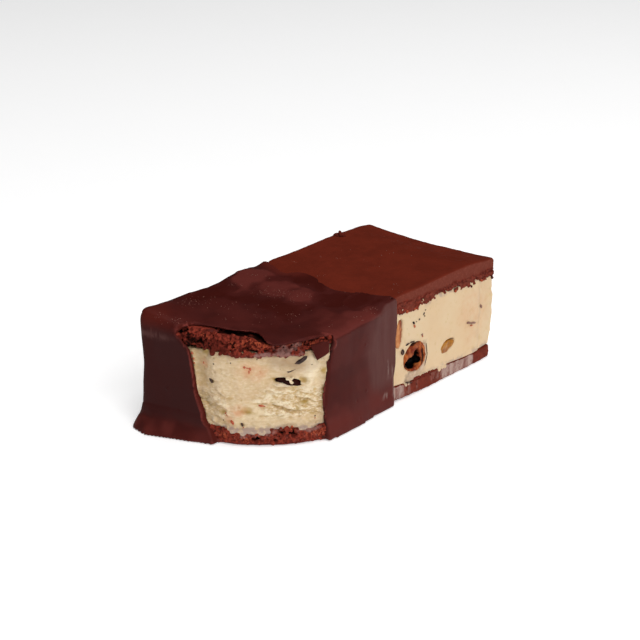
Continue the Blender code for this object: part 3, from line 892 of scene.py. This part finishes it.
# ---- Nut, almond, peel and chocolate in the ice cream ----
# Pieces stirred into the ice cream before it froze, and cut or bitten through with it: a nut
# cooked in sugar, with a hollow in it, a sliver of almond, a cube of candied peel and chocolate.

# What shows on the nut's cut face beside its golden flesh: its hollow, painted black as painted shadow,
# its dark skin and its red.
NUT_HOLLOW = (
    (15.9, -28.0, 12.3, 4.0, 7.0, 2.2), (17.6, -28.0, 14.6, 1.6, 7.0, 2.0),
)
NUT_SKIN = (
    (11.0, -28.0, 17.2, 1.5, 3.0, 1.2), (14.0, -28.0, 18.9, 3.4, 3.0, 0.5),
    (20.6, -28.0, 13.5, 0.5, 3.0, 3.0),
)
NUT_RED = (
    (15.6, -28.0, 16.9, 3.4, 4.0, 1.6), (18.6, -28.0, 14.5, 1.8, 4.0, 3.0),
    (16.5, -28.0, 9.6, 2.0, 4.0, 1.0),
)


def bit_finish(name, light, deep, shine, gloss=0.3):
    """A fruit or nut piece: its own colour, deeper in its grain, red or dark in places."""
    finish = Finish(name)
    grain = finish.cloud(0.9, 4.0, up=0.5)
    finish.tone = grain.rise(0.35, 0.68).blend(colour(*light), colour(*deep))
    finish.lay(finish.painted("red") * grain.rise(0.1, 0.6), 116, 42, 22)
    # The dark tone is the nut's skin, and painted shadow in its hollow.
    finish.lay(finish.painted("dark"), 12, 4, 3)
    normal = finish.bump(grain, 0.15, 0.6)
    return finish.close({"Specular IOR Level": gloss}, Roughness=shine + grain * 0.2, Normal=normal)


nut = fine_piece("candied_nut_piece", "candied_nut", 0.22)
placed = points_of(nut)
lobes = 0.45 * waves(placed, 3.0, 82, 3) + 0.25
hollow = patches(placed, NUT_HOLLOW, 0.25)
push(nut, lobes - 2.0 * hollow)
placed = points_of(nut)
# Painted shadow deep in the nut's hollow, and the nut's own dark skin.
dark = np.maximum(ease(hollow, 0.05, 0.4), 0.9 * patches(placed, NUT_SKIN, 0.3))
red = 0.95 * patches(placed, NUT_RED, 0.4, 0.8)
sugared_nut = bit_finish("sugared nut", (184, 102, 52), (124, 52, 26), 0.4, 0.06)
put_on(nut, sugared_nut, "candied_nut", dark=dark, red=red)
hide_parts("candied_nut")

almond = fine_piece("almond_sliver", "almond_slice", 0.24)
push(almond, 0.2 + 0.08 * waves(points_of(almond), 1.0, 83, 2, up=0.3))
move_points(almond, points_of(almond) - (0.7, 0.0, 0.0))
placed = points_of(almond)
x, _, z = placed.T
rim = 0.8 * ease(x - 0.12 * (24 - z), 8.3, 9.0)
put_on(almond, bit_finish("almond", (204, 136, 82), (176, 104, 56), 0.5), "almond", red=rim)
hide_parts("almond_slice")

peel = fine_piece("peel_cube", "peel_piece", 0.24)
push(peel, 0.15 + 0.3 * waves(points_of(peel), 2.4, 84, 2))
move_points(peel, points_of(peel) - (0.9, 0.0, 0.4))
rim = 0.4 * patch(points_of(peel), (34.2, -28.0, 10.6), (2.2, 4.0, 1.2), 0.3, 1.0)
put_on(peel, bit_finish("candied peel", (178, 118, 32), (146, 86, 4), 0.25), "peel", red=rim)
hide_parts("peel_piece")


def strand(start, stop, thick, rough):
    """A rough splinter or speck drawn out from one place to another."""
    points, faces = ball(2)
    points = points * (1 + rough * waves(points + 10 * chance.random(3), 0.8, 3, 2))[:, None]
    start, stop = Vector(start), Vector(stop)
    length = (stop - start).length
    points = points * (thick / 2, thick / 2, length / 2)
    turned = (stop - start).to_track_quat("Z", "Y").to_matrix()
    return points @ np.array(turned).T + np.array((start + stop) / 2), faces


# Skin of nut and cocoa specks: each from one place to another, with its thickness.
DARK_SPECKS = (
    ((-51.6, 2.3, 20.3), (-51.6, 1.3, 19.3), 0.85), ((-37.0, -20.7, 26.5), (-34.3, -23.5, 29.2), 1.4),
    ((-38.3, -18.8, 23.7), (-36.9, -20.5, 25.0), 0.35), ((-38.6, -18.6, 24.0), (-37.6, -19.7, 24.1), 0.3),
    ((-51.6, 0.5, 26.1), (-51.5, 0.0, 25.9), 0.4), ((-49.7, -4.8, 27.3), (-49.5, -5.1, 26.9), 0.4),
    ((-49.0, -8.5, 6.9), (-48.8, -8.9, 6.3), 0.7), ((-51.3, -2.7, 7.4), (-51.2, -3.0, 7.2), 0.5),
    ((-32.0, -24.7, 8.6), (-31.9, -24.7, 8.1), 0.45), ((-33.4, -24.0, 27.0), (-33.3, -24.1, 26.4), 0.5),
    ((-45.6, -12.2, 28.6), (-45.3, -12.6, 28.3), 0.4), ((9.6, -27.8, 16.6), (10.8, -27.9, 18.4), 1.3),
    ((12.0, -28.0, 19.3), (13.7, -28.1, 19.9), 0.6), ((13.9, -28.1, 19.9), (16.9, -28.2, 19.5), 0.5),
    ((17.4, -28.2, 19.2), (18.6, -28.2, 18.6), 0.4), ((23.1, -28.2, 17.0), (23.8, -28.2, 12.6), 0.35),
    ((23.8, -28.2, 12.6), (22.6, -28.1, 8.6), 0.3), ((12.3, -27.8, 5.9), (16.2, -28.0, 4.9), 0.35),
    ((15.3, -28.1, 26.7), (16.1, -28.15, 26.0), 0.7), ((17.0, -28.1, 26.2), (17.5, -28.2, 26.4), 0.35),
    ((18.4, -28.2, 26.4), (19.2, -28.2, 26.9), 0.4), ((21.0, -28.2, 27.6), (21.7, -28.3, 28.4), 0.45),
    ((21.5, -28.2, 26.9), (22.0, -28.3, 27.1), 0.4), ((22.0, -28.2, 28.9), (22.4, -28.3, 29.2), 0.3),
)
RED_SPECKS = (
    ((-53.3, 7.6, 28.6), (-53.3, 7.6, 27.6), 0.8), ((-53.2, 7.4, 26.9), (-53.2, 7.4, 25.9), 0.8),
    ((-53.1, 7.2, 25.2), (-53.1, 7.2, 24.6), 0.6), ((-47.6, -8.4, 25.9), (-47.3, -8.9, 25.4), 0.7),
    ((-47.2, -9.0, 25.5), (-46.6, -9.8, 25.2), 0.35), ((-46.5, -9.8, 25.6), (-46.3, -10.2, 24.4), 0.75),
    ((-46.6, -9.9, 24.5), (-46.6, -9.9, 23.5), 0.5), ((-50.9, -4.1, 9.7), (-50.7, -4.4, 9.1), 0.6),
    ((-50.8, -5.5, 7.7), (-50.4, -6.4, 6.4), 1.0), ((-48.9, -8.9, 6.0), (-48.8, -9.2, 5.6), 0.5),
    ((-32.2, -24.6, 7.8), (-31.9, -24.8, 7.5), 0.5), ((15.9, -28.1, 25.6), (16.6, -28.1, 24.2), 0.75),
    ((48.2, -28.9, 15.7), (49.9, -28.9, 15.3), 0.5), ((20.4, -28.2, 20.1), (21.2, -28.2, 20.0), 0.6),
    ((-51.9, 4.7, 25.6), (-51.9, 4.4, 24.8), 0.5), ((-45.0, -11.9, 13.0), (-43.6, -13.9, 12.5), 0.7),
    ((-51.1, -3.4, 10.2), (-51.0, -3.8, 9.8), 0.6),
)
# Softer grey-brown flecks of nut under the ice cream's surface.
FLECKS = (
    ((46.2, -28.8, 17.3), (48.6, -28.9, 16.6), 1.0), ((48.0, -28.85, 16.7), (51.6, -28.95, 15.8), 0.8),
    ((54.3, -28.85, 21.6), (54.9, -28.9, 20.2), 0.9), ((20.2, -28.2, 20.6), (21.0, -28.2, 20.9), 0.7),
)
ice_tree = searchable(*shape_of(ice_cream))


def on_ice(place):
    """The place on the bitten ice cream nearest to one; a place on the cut side stays."""
    return ice_tree.find_nearest(Vector(place))[0] if place[0] < 0 else Vector(place)


for name, table, light, deep in (
    ("dark_specks", DARK_SPECKS, (34, 18, 16), (92, 68, 58)),
    ("red_specks", RED_SPECKS, (178, 82, 56), (198, 116, 80)),
    ("nut_flecks", FLECKS, (126, 92, 80), (160, 122, 102)),
):
    made = [strand(on_ice(start), on_ice(stop), thick, 0.4) for start, stop, thick in table]
    finish = bit_finish(name.replace("_", " "), light, deep, 0.5)
    put_on(new_piece(name, *joined(made)), finish, None)

chocolate_bit = fine_piece("chocolate_splinter", "chocolate_piece", 0.24)
push(chocolate_bit, 0.1 + 0.35 * waves(points_of(chocolate_bit), 1.8, 85, 2))
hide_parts("chocolate_piece")

# A thread of ice cream drawn out over a hollow in the bite.
bridge = [
    crumb((-38.8, -19.3, 21.9), 1.7, 0.5, 2),
    crumb((-38.3, -19.7, 21.1), 1.3, 0.5, 2),
    crumb((-37.9, -20.1, 21.9), 1.5, 0.5, 2),
    crumb((-37.9, -20.0, 20.4), 1.1, 0.5, 2),
    strand((-41.0, -16.2, 19.6), (-37.6, -19.8, 19.3), 1.3, 0.5),
]
ice_bridge = new_piece("ice_cream_bridge", *joined(bridge))
melted(ice_bridge, 0.2)
placed = points_of(ice_bridge)
push(ice_bridge, 0.12 * waves(placed, 0.7, 87, 2))
# The thread is painted greyer towards its underside, and its relief gives it the painted highlight of the
# ice cream's proud parts.
put_on(ice_bridge, vanilla, "ice_cream", stain=ease(placed[:, 2], 21.4, 20.2) * 0.4, relief=0.6)

# ---- Chocolate shell ----
# Dark chocolate that the bar was dipped in. It set thin and satin over the wafer's swells, pooled
# into a skirt on the tray, and snapped at the bite.

SHELL_GRID = 0.42
SHELL_TRIANGLES = 195_000
BITE_MIDDLE = np.array([-44.0, -10.0])

# A flap of shell that cracked but held at the bite's upper right corner, as a place and a reach.
CRACKED_FLAP = ((-28.0, -26.8, 32.6), (2.7, 3.0, 3.1))
# Where a painted sheen lightens the top and where painted shade darkens it; the top also swells a
# little under the first and sinks under the second.
SHEEN_PATCHES = (
    (-11.0, 19.5, 37.7, 8.5, 6.5, 6.0), (-12.0, 9.0, 37.7, 7.5, 6.0), (-12.0, -0.5, 37.1, 6.0, 6.0),
)
SHADED_PATCHES = (
    (-24.5, 9.0, 37.5, 5.0, 7.0, 6.0), (-21.0, -4.5, 36.8, 8.0, 6.0, 6.0),
    (-0.5, 3.0, 37.9, 4.5, 8.0, 6.0), (-5.5, -10.0, 37.2, 6.5, 5.0, 6.0),
    (-1.0, -18.5, 37.2, 5.5, 4.5, 6.0), (-28.0, 21.0, 38.0, 8.0, 4.0, 6.0),
)
# Streaks of ice cream smeared up the coat's side by the dip's edge.
SMEARS = (
    (4.9, -28.3, 5.0, 1.0, 2.5, 2.4), (0.9, -28.2, 5.2, 1.6, 2.5, 1.0),
    (4.2, -28.2, 10.5, 0.8, 2.5, 3.6), (2.4, -28.2, 13.5, 0.6, 2.5, 3.0),
)

# The coat hangs a little over the bite's left end.
overhang = [
    crumb((-54.3, 13.2, 35.7), 3.4, 0.2, 2),
    crumb((-53.0, 12.4, 36.1), 2.8, 0.2, 2),
    crumb((-51.6, 11.1, 36.4), 2.2, 0.2, 2),
]
chocolate_shell = fine_piece("chocolate_coat", "chocolate_shell", SHELL_GRID, overhang)
placed, facing = surface_of(chocolate_shell)
x, y, z = placed.T
on_top = ease(facing[:, 2], 0.5, 0.9)
swells = 0.3 * np.tanh(2.6 * waves(placed, 13.0, 61)) + 0.14 * waves(placed, 5.0, 62, 2)
swells += 0.35 * ease(y, 12, 24) * ease(x, 0, -6)
swells += 0.2 * patches(placed, SHEEN_PATCHES) - 0.2 * patches(placed, SHADED_PATCHES)
sides = 0.2 * waves(placed, 9.0, 63, 2, up=0.45)
sides += 0.04 * waves(placed, 2.2, 64, up=0.2)
amount = on_top * swells + (1 - on_top) * sides
end_face = ease(facing[:, 0], -0.6, -0.9)
amount += (0.1 + 0.45 * ease(z, 24, 15)) * end_face * ease(z, 4, 8)
amount += 0.3 * ease(z, 6.0, 2.0) * ease(facing[:, 2], -0.6, -0.2)
near, kind = grains(placed, 2.6, 65)
amount += 0.22 * (kind > 0.95) * ease(near, 0.3, 0.08)
amount -= 0.25 * (kind < 0.04) * ease(near, 0.26, 0.08)
amount += 0.35 * patch(placed, *CRACKED_FLAP, 0.25, 0.14)
push(chocolate_shell, amount)
# The dip's edge leans back a little towards its top on the side.
placed = points_of(chocolate_shell)
x, y, z = placed.T
lean = ease(z, 8, 34) * ease(y, -19, -25) * ease(x, -3, 3)
placed[:, 0] -= 1.1 * lean
move_points(chocolate_shell, placed)
thinned(chocolate_shell, SHELL_TRIANGLES)


def rounding(piece):
    """How sharply a piece turns at each point: 0 where it is flat, more along an edge."""
    ends = np.empty(len(piece.data.edges) * 2, np.int32)
    piece.data.edges.foreach_get("vertices", ends)
    ends = ends.reshape(-1, 2)
    points, normals = surface_of(piece)
    total, count = np.zeros_like(points), np.zeros(len(points))
    for a, b in (ends.T, ends.T[::-1]):
        np.add.at(total, a, points[b])
        np.add.at(count, a, 1)
    middle = total / count[:, None]
    turn = -np.sum((middle - points) * normals, axis=1)
    total = turn.copy()
    for a, b in (ends.T, ends.T[::-1]):
        np.add.at(total, a, turn[b])
    return total / (count + 1)


placed, facing = surface_of(chocolate_shell)
x, y, z = placed.T
# Painted highlights along the coat's sharp edges near the bite and on the cracked flap's rim.
edge = ease(rounding(chocolate_shell), 0.05, 0.13)
round_bite = np.linalg.norm(placed[:, :2] - BITE_MIDDLE, axis=1)
flap = patch(placed, *CRACKED_FLAP, 0.25, 0.14)
flap_rim = 4 * flap * (1 - flap) * ease(x, -29.5, -27.5)
edge *= ease(round_bite, 26, 20) * (0.75 + 0.5 * waves(placed, 3.0, 75, 2))
edge = np.maximum(edge, 0.7 * flap_rim)
# The coat's broken edge at the bite's left end, and the thin lit line along it.
left_end = ease(x, -49, -51)
near_bite = ease(round_bite, 27, 23)
torn = ease(facing @ np.array([0.35, -0.94, 0.0]), 0.4, 0.8) * left_end
torn *= near_bite
edge *= 1 - 0.8 * ease(torn, 0.6, 1.0)
rim_line = ease(facing @ np.array([-0.72, -0.69, 0.0]), 0.9, 0.98) * left_end
edge = np.maximum(edge, 0.9 * rim_line * near_bite)
# Painted sheen (over 0) and painted shade (under 0) on the coat: patches on the top, a lighter flap,
# front edge, lower part and long side, and soft uneven patches.
bloom = patches(placed, SHEEN_PATCHES, 0.5, 1.2) - patches(placed, SHADED_PATCHES, 0.5, 1.2)
bloom += 0.8 * flap
front_edge = ease(y, -15, -24) * ease(x, -31, -26) * ease(x, 1, -6)
bloom += 0.9 * front_edge * ease(facing[:, 2], 0.2, 0.6)
bloom += (0.12 + 0.2 * ease(facing[:, 2], 0.2, 0.7)) * np.tanh(3 * waves(placed, 6.0, 72, 2))
bloom += 0.5 * ease(z, 14.0, 3.0) + 0.25 * ease(facing[:, 1], -0.5, -0.9)
# A painted grey sheen, a reflection, on the long side by the dip's edge, and a painted highlight
# along the end's top corner.
side = ease(facing[:, 1], -0.6, -0.9)
drift = 1.2 * waves(placed, 3.0, 73, 2, up=0.3)
sheen_left = -9.0 + 0.22 * np.abs(z - 23.0) + drift
painted_sheen = ease(x, sheen_left - 2.5, sheen_left + 4.0) * ease(z, 5, 12)
painted_sheen *= 0.9 + 0.15 * waves(placed, 2.2, 71, 2, up=0.2)
corner_sheen = patch(placed, (-57.4, 20.0, 32.3), (3.0, 6.0, 0.9), 0.25, 1.2)
corner_glint = patch(placed, (-57.6, 26.8, 32.0), (3.0, 1.7, 1.8), 0.15, 1.4)
dip_edge = np.interp(y, (-28, -19, -6.5, 8.5, 16, 28), (8.0, 4.4, 0.6, 5.3, 2.4, 6.4))
feathered = ease(dip_edge - x, 7.0, 1.0) * ease(y, 4.0, 12.0)
red_corner = patch(placed, (-54.5, 23.0, 39.0), (6.0, 6.0, 4.0), 0.3, 1.2)
smears_and_glint = patches(placed, SMEARS, 0.6, 1.2)
# The corner glint, a painted highlight, shares the smears' pale colour.
smears_and_glint = np.maximum(smears_and_glint, 0.9 * corner_glint)
# Painted shade: the end face is painted a cooler, darker brown.
end_face_shade = ease(facing[:, 0], -0.5, -0.85) * ease(z, 36.0, 32.5) * ease(z, 1, 7)
broken_face = ease(facing[:, 0] - 0.3 * facing[:, 1], -0.35, -0.75)
broken_face *= ease(round_bite, 25, 22) * ease(x, -36, -33) * ease(z, 34.5, 32.5)
broken_face *= 0.3 + 0.7 * ease(z, 24, 28)
under_side = ease(facing[:, 2], -0.3, -0.7) * ease(z, 30, 32) * ease(round_bite, 26, 22)
shades = {
    "bloom": np.clip(bloom, -1, 1),
    "edge": edge,
    "painted_sheen": np.maximum(side * painted_sheen, 0.7 * corner_sheen),
    "smear_and_glint": smears_and_glint,
    "red": np.maximum(np.maximum(feathered, 0.55 * red_corner), 0.8 * torn),
    "shade": np.maximum(np.maximum(broken_face, under_side), 0.25 * torn),
    "end_face_shade": end_face_shade,
}


def chocolate_finish(name):
    """Dark chocolate: maroon brown and satin, with painted sheen and painted shade in patches, painted
    highlights on its edges, redder at a broken edge.
    """
    finish = Finish(name)
    bloom = finish.painted("bloom")
    wide = finish.cloud(11.0)
    small = finish.cloud(1.6)
    streaks = finish.cloud(1.2, up=0.15)
    finish.tone = wide.rise(0.35, 0.65).blend(colour(66, 23, 20), colour(73, 25, 21))
    # Painted sheen over the patches that catch the light, painted shade over those that lose it.
    finish.lay(bloom.rise(0.0, 1.0) * 0.9, 98, 41, 36)
    finish.lay(bloom.rise(0.0, -1.0) * 0.9, 62, 15, 9)
    # Painted shade on the end face.
    finish.lay(finish.painted("end_face_shade") * 0.8, 54, 24, 23)
    finish.lay(finish.painted("red") * 0.85, 92, 32, 24)
    # Painted sheen: a grey reflection on the long side and a highlight at the end's top corner.
    sheen_tone = streaks.rise(0.2, 0.8).blend(colour(93, 58, 55), colour(100, 66, 62))
    finish.tone = (finish.painted("painted_sheen") * 0.8).blend(finish.tone, sheen_tone)
    # Pale ice cream smears, and a painted highlight at the end's top corner.
    finish.lay(finish.painted("smear_and_glint") * streaks.rise(0.35, 0.6) * 0.6, 150, 126, 118)
    # Painted highlights on sharp edges.
    finish.lay(finish.painted("edge") * 0.75, 134, 60, 53)
    finish.lay(finish.painted("shade") * 0.8, 24, 8, 7)
    rough = 0.42 + wide * 0.16 - bloom * 0.04
    height = small * 0.5 + finish.cloud(0.45, 2.0) * 0.3
    normal = finish.bump(height, 0.08, 0.45)
    return finish.close({"Specular IOR Level": 0.05}, Roughness=rough, Normal=normal)


dark_chocolate = chocolate_finish("dark chocolate")
put_on(chocolate_shell, dark_chocolate, "chocolate", **shades)
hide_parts("chocolate_shell")
put_on(chocolate_bit, dark_chocolate, "chocolate", shade=0.9)
flake = fine_piece("shell_splinter", "shell_flake", 0.26)
push(flake, 0.1 * waves(points_of(flake), 2.0, 86, 2))
# The flake gets uneven painted sheen and shade, and painted highlights along its edges.
bloom = 0.4 * waves(points_of(flake), 3.0, 74)
put_on(flake, dark_chocolate, "chocolate", edge=ease(rounding(flake), 0.03, 0.09), bloom=bloom)
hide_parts("shell_flake")

# Bits of the shell that broke off and lie on the wafer's crumb.
shards = [
    strand((-50.3, 6.4, 35.3), (-47.4, 1.9, 35.3), 2.6, 0.25),
    strand((-34.6, -23.4, 35.2), (-33.4, -24.6, 35.4), 1.3, 0.3),
    strand((-41.9, -17.3, 33.8), (-40.9, -18.6, 33.5), 1.2, 0.3),
]
loose_shards = new_piece("shell_shards", *joined(shards))
# They are pressed flat to just above the crumb.
placed = points_of(loose_shards)
placed[:, 2] = 35.2 + 0.35 * (placed[:, 2] - 35.0)
move_points(loose_shards, placed)
# The shards are lightened all over with the painted edge highlight's colour.
put_on(loose_shards, dark_chocolate, "chocolate", edge=0.35)

# ---- Sugar grains ----
# Fine grains of sugar and tiny burst bubbles that catch the light. They lie in loose swarms on the
# top, stuck in the chocolate since it set, and a few lie on the wafer.

# Each swarm: its middle on the bar, how far it spreads, and its number of grains.
SWARMS = (
    ((-9.5, 20.3), 1.6, 7), ((-6.9, 16.5), 1.6, 7), ((-18.3, 20.2), 2.4, 12),
    ((-14.5, 3.8), 4.0, 34), ((-10.2, -2.8), 2.6, 12), ((-36.7, 19.1), 4.2, 30),
    ((-42.0, 21.0), 3.0, 24), ((-32.6, 10.8), 2.6, 9), ((-55.2, 19.2), 1.8, 12),
    ((-53.4, 14.3), 2.4, 18), ((-40.8, 5.4), 2.2, 5), ((-32.8, -0.7), 2.6, 9),
    ((-23.1, -9.2), 3.2, 12), ((-28.4, -15.6), 1.0, 2), ((-22.4, -22.1), 2.0, 5),
    ((-4.2, -24.9), 1.8, 8), ((-2.2, -25.4), 1.4, 6), ((-12.6, -26.6), 2.0, 7),
    ((-17.0, 9.0), 5.0, 26), ((7.3, -17.4), 0.8, 2), ((11.3, -22.2), 0.8, 2),
    ((15.8, -20.5), 1.6, 7), ((11.1, -25.4), 1.2, 5), ((10.4, 18.1), 1.6, 5),
    ((20.7, 15.5), 1.0, 4), ((23.5, 10.7), 1.6, 4), ((6.1, 3.9), 1.2, 5),
    ((30.0, 0.0), 16.0, 18), ((-25.0, 0.0), 22.0, 40),
)
tops = [searchable(*shape_of(piece)) for piece in (chocolate_shell, top_wafer)]
grains_made = []
for middle, spread, count in SWARMS:
    for _ in range(count):
        x, y = np.array(middle) + spread * 0.5 * chance.normal(size=2)
        size = 0.2 + 0.22 * chance.random() ** 3
        hits = [tree.ray_cast(Vector((x, y, 60.0)), Vector((0, 0, -1)))[0] for tree in tops]
        heights = [hit.z for hit in hits if hit is not None]
        if heights and max(heights) > 30:
            grains_made.append(crumb((x, y, max(heights) + 0.2 * size), size))
sugar = new_piece("sugar_grains", *joined(grains_made))
put_on(sugar, bit_finish("sugar grains", (160, 106, 92), (116, 66, 56), 0.35), None)

# ---- Loose crumb ----
# Crumbs of wafer that lie on the bar where they fell, one of them big enough to stand out, and the
# bottom wafer's crumb that the knife dragged up over the ice cream.

loose = [
    crumb((41.9, 24.6, 38.3), 3.0, 0.3, 2),
    crumb((43.0, 23.0, 38.4), 3.0, 0.3, 2),
    crumb((42.4, 23.8, 39.3), 2.6, 0.3, 2),
]
for *place, size in (
    (16.0, -28.2, 31.2, 1.2), (12.0, -28.0, 31.4, 1.3), (39.3, -28.4, 30.9, 1.2),
    (54.5, -28.8, 30.4, 1.3), (-48.9, -10.2, 2.4, 1.4), (-48.2, -11.0, 3.0, 1.0),
    (-47.1, -13.2, 4.0, 1.2), (-46.2, -13.8, 3.8, 0.9), (-38.5, -20.6, 5.6, 1.4),
    (-39.4, -19.7, 5.3, 1.0), (-37.8, -21.4, 5.2, 0.9),
):
    loose.append(crumb(place, size, 0.4, 2))


def dragged_up(places, normals):
    """Where the knife dragged the bottom wafer's crumb up over the ice cream."""
    x, _, z = places.T
    brown = ease(x, 16, 19) * ease(x, 29, 26)
    height = z + 0.6 * waves(places, 2.2, 57, 2)
    return brown * ease(height, 6.4, 5.2) * (normals[:, 1] < -0.5) * (z > 4)


for place in scattered(ice_cream, 90, dragged_up)[0]:
    loose.append(crumb(place, 0.5 + 0.8 * chance.random() ** 2, 0.4))
loose_crumb = new_piece("loose_crumb", *joined(loose))
melted(loose_crumb, 0.2)
placed = points_of(loose_crumb)
x, _, z = placed.T
push(loose_crumb, 0.1 * waves(placed, 0.6, 91, 2))
glow = np.where(z > 36.0, 0.0, 0.9) * np.where((x > 5) & (z < 8), 0.2, 1)
put_on(loose_crumb, cocoa_wafer, "wafer", relief=1.0, broken=1.0, glow=glow, kind=0.2 + 0.8 * glow)

# ---- Floor, light and camera ----
# A plain pale table under large soft lights, and a long lens a little above the bar's bitten corner,
# as for a packshot.

FLOOR_HALF = 3.0
FLOOR_Z = -0.0002
floor_mesh = bpy.data.meshes.new("table_top")
signs = ((-1, -1), (1, -1), (1, 1), (-1, 1))
corners = [(FLOOR_HALF * across, FLOOR_HALF * along, FLOOR_Z) for across, along in signs]
floor_mesh.from_pydata(corners, [], [(0, 1, 2, 3)])
table_top = bpy.data.objects.new("table_top", floor_mesh)
bpy.context.scene.collection.objects.link(table_top)
table_finish = Finish("pale table")
grain = table_finish.cloud(40.0, 2.0)
table_finish.tone = grain.blend(colour(250, 250, 250), colour(252, 252, 252))
matt = {
    "Roughness": 0.9,
    "Specular IOR Level": 0.1,
    "Emission Color": (1.0, 1.0, 1.0, 1.0),
    "Emission Strength": 0.36,
}
floor_mesh.materials.append(table_finish.close(matt).material)


def soft_light(name, place, aim, size, watts):
    lamp = bpy.data.lights.new(name, "AREA")
    lamp.shape = "RECTANGLE"
    lamp.size, lamp.size_y = size
    lamp.energy = watts
    made = bpy.data.objects.new(name, lamp)
    made.location = place
    made.rotation_mode = "QUATERNION"
    made.rotation_quaternion = (Vector(aim) - Vector(place)).to_track_quat("-Z", "Y")
    bpy.context.scene.collection.objects.link(made)


soft_light("key", (-0.5, -0.85, 0.85), (0, 0, 0.01), (0.8, 0.7), 8.1)
soft_light("top", (0.0, -0.1, 1.2), (0, 0, 0.01), (1.0, 1.0), 7.4)
soft_light("rim", (0.9, -0.75, 0.6), (0, 0, 0.01), (0.6, 0.6), 2.2)

world = bpy.data.worlds.new("room")
bpy.context.scene.world = world
world.use_nodes = True
background = world.node_tree.nodes["Background"]
background.inputs["Color"].default_value = (1.0, 1.0, 1.0, 1.0)
background.inputs["Strength"].default_value = 0.05

CAMERA_PLACE = (-0.46684, -0.37165, 0.25676)
CAMERA_ANGLES = (-52.689, 21.753, 0.649)
turn, rise, roll = (math.radians(angle) for angle in CAMERA_ANGLES)
back = Vector((math.sin(turn) * math.cos(rise), -math.cos(turn) * math.cos(rise), math.sin(rise)))
level = Vector((math.cos(turn), math.sin(turn), 0.0))
upright = back.cross(level)
right = level * math.cos(roll) + upright * math.sin(roll)
up = upright * math.cos(roll) - level * math.sin(roll)
lens = bpy.data.cameras.new("packshot")
lens.lens = 108.118
lens.sensor_width = 36.0
lens.shift_x = -0.05503
lens.shift_y = 0.02897
lens.clip_start = 0.01
camera = bpy.data.objects.new("packshot", lens)
stance = Matrix((right, up, back)).transposed().to_4x4()
camera.matrix_world = Matrix.Translation(CAMERA_PLACE) @ stance
bpy.context.scene.collection.objects.link(camera)
bpy.context.scene.camera = camera
bpy.context.scene.view_settings.view_transform = "Standard"
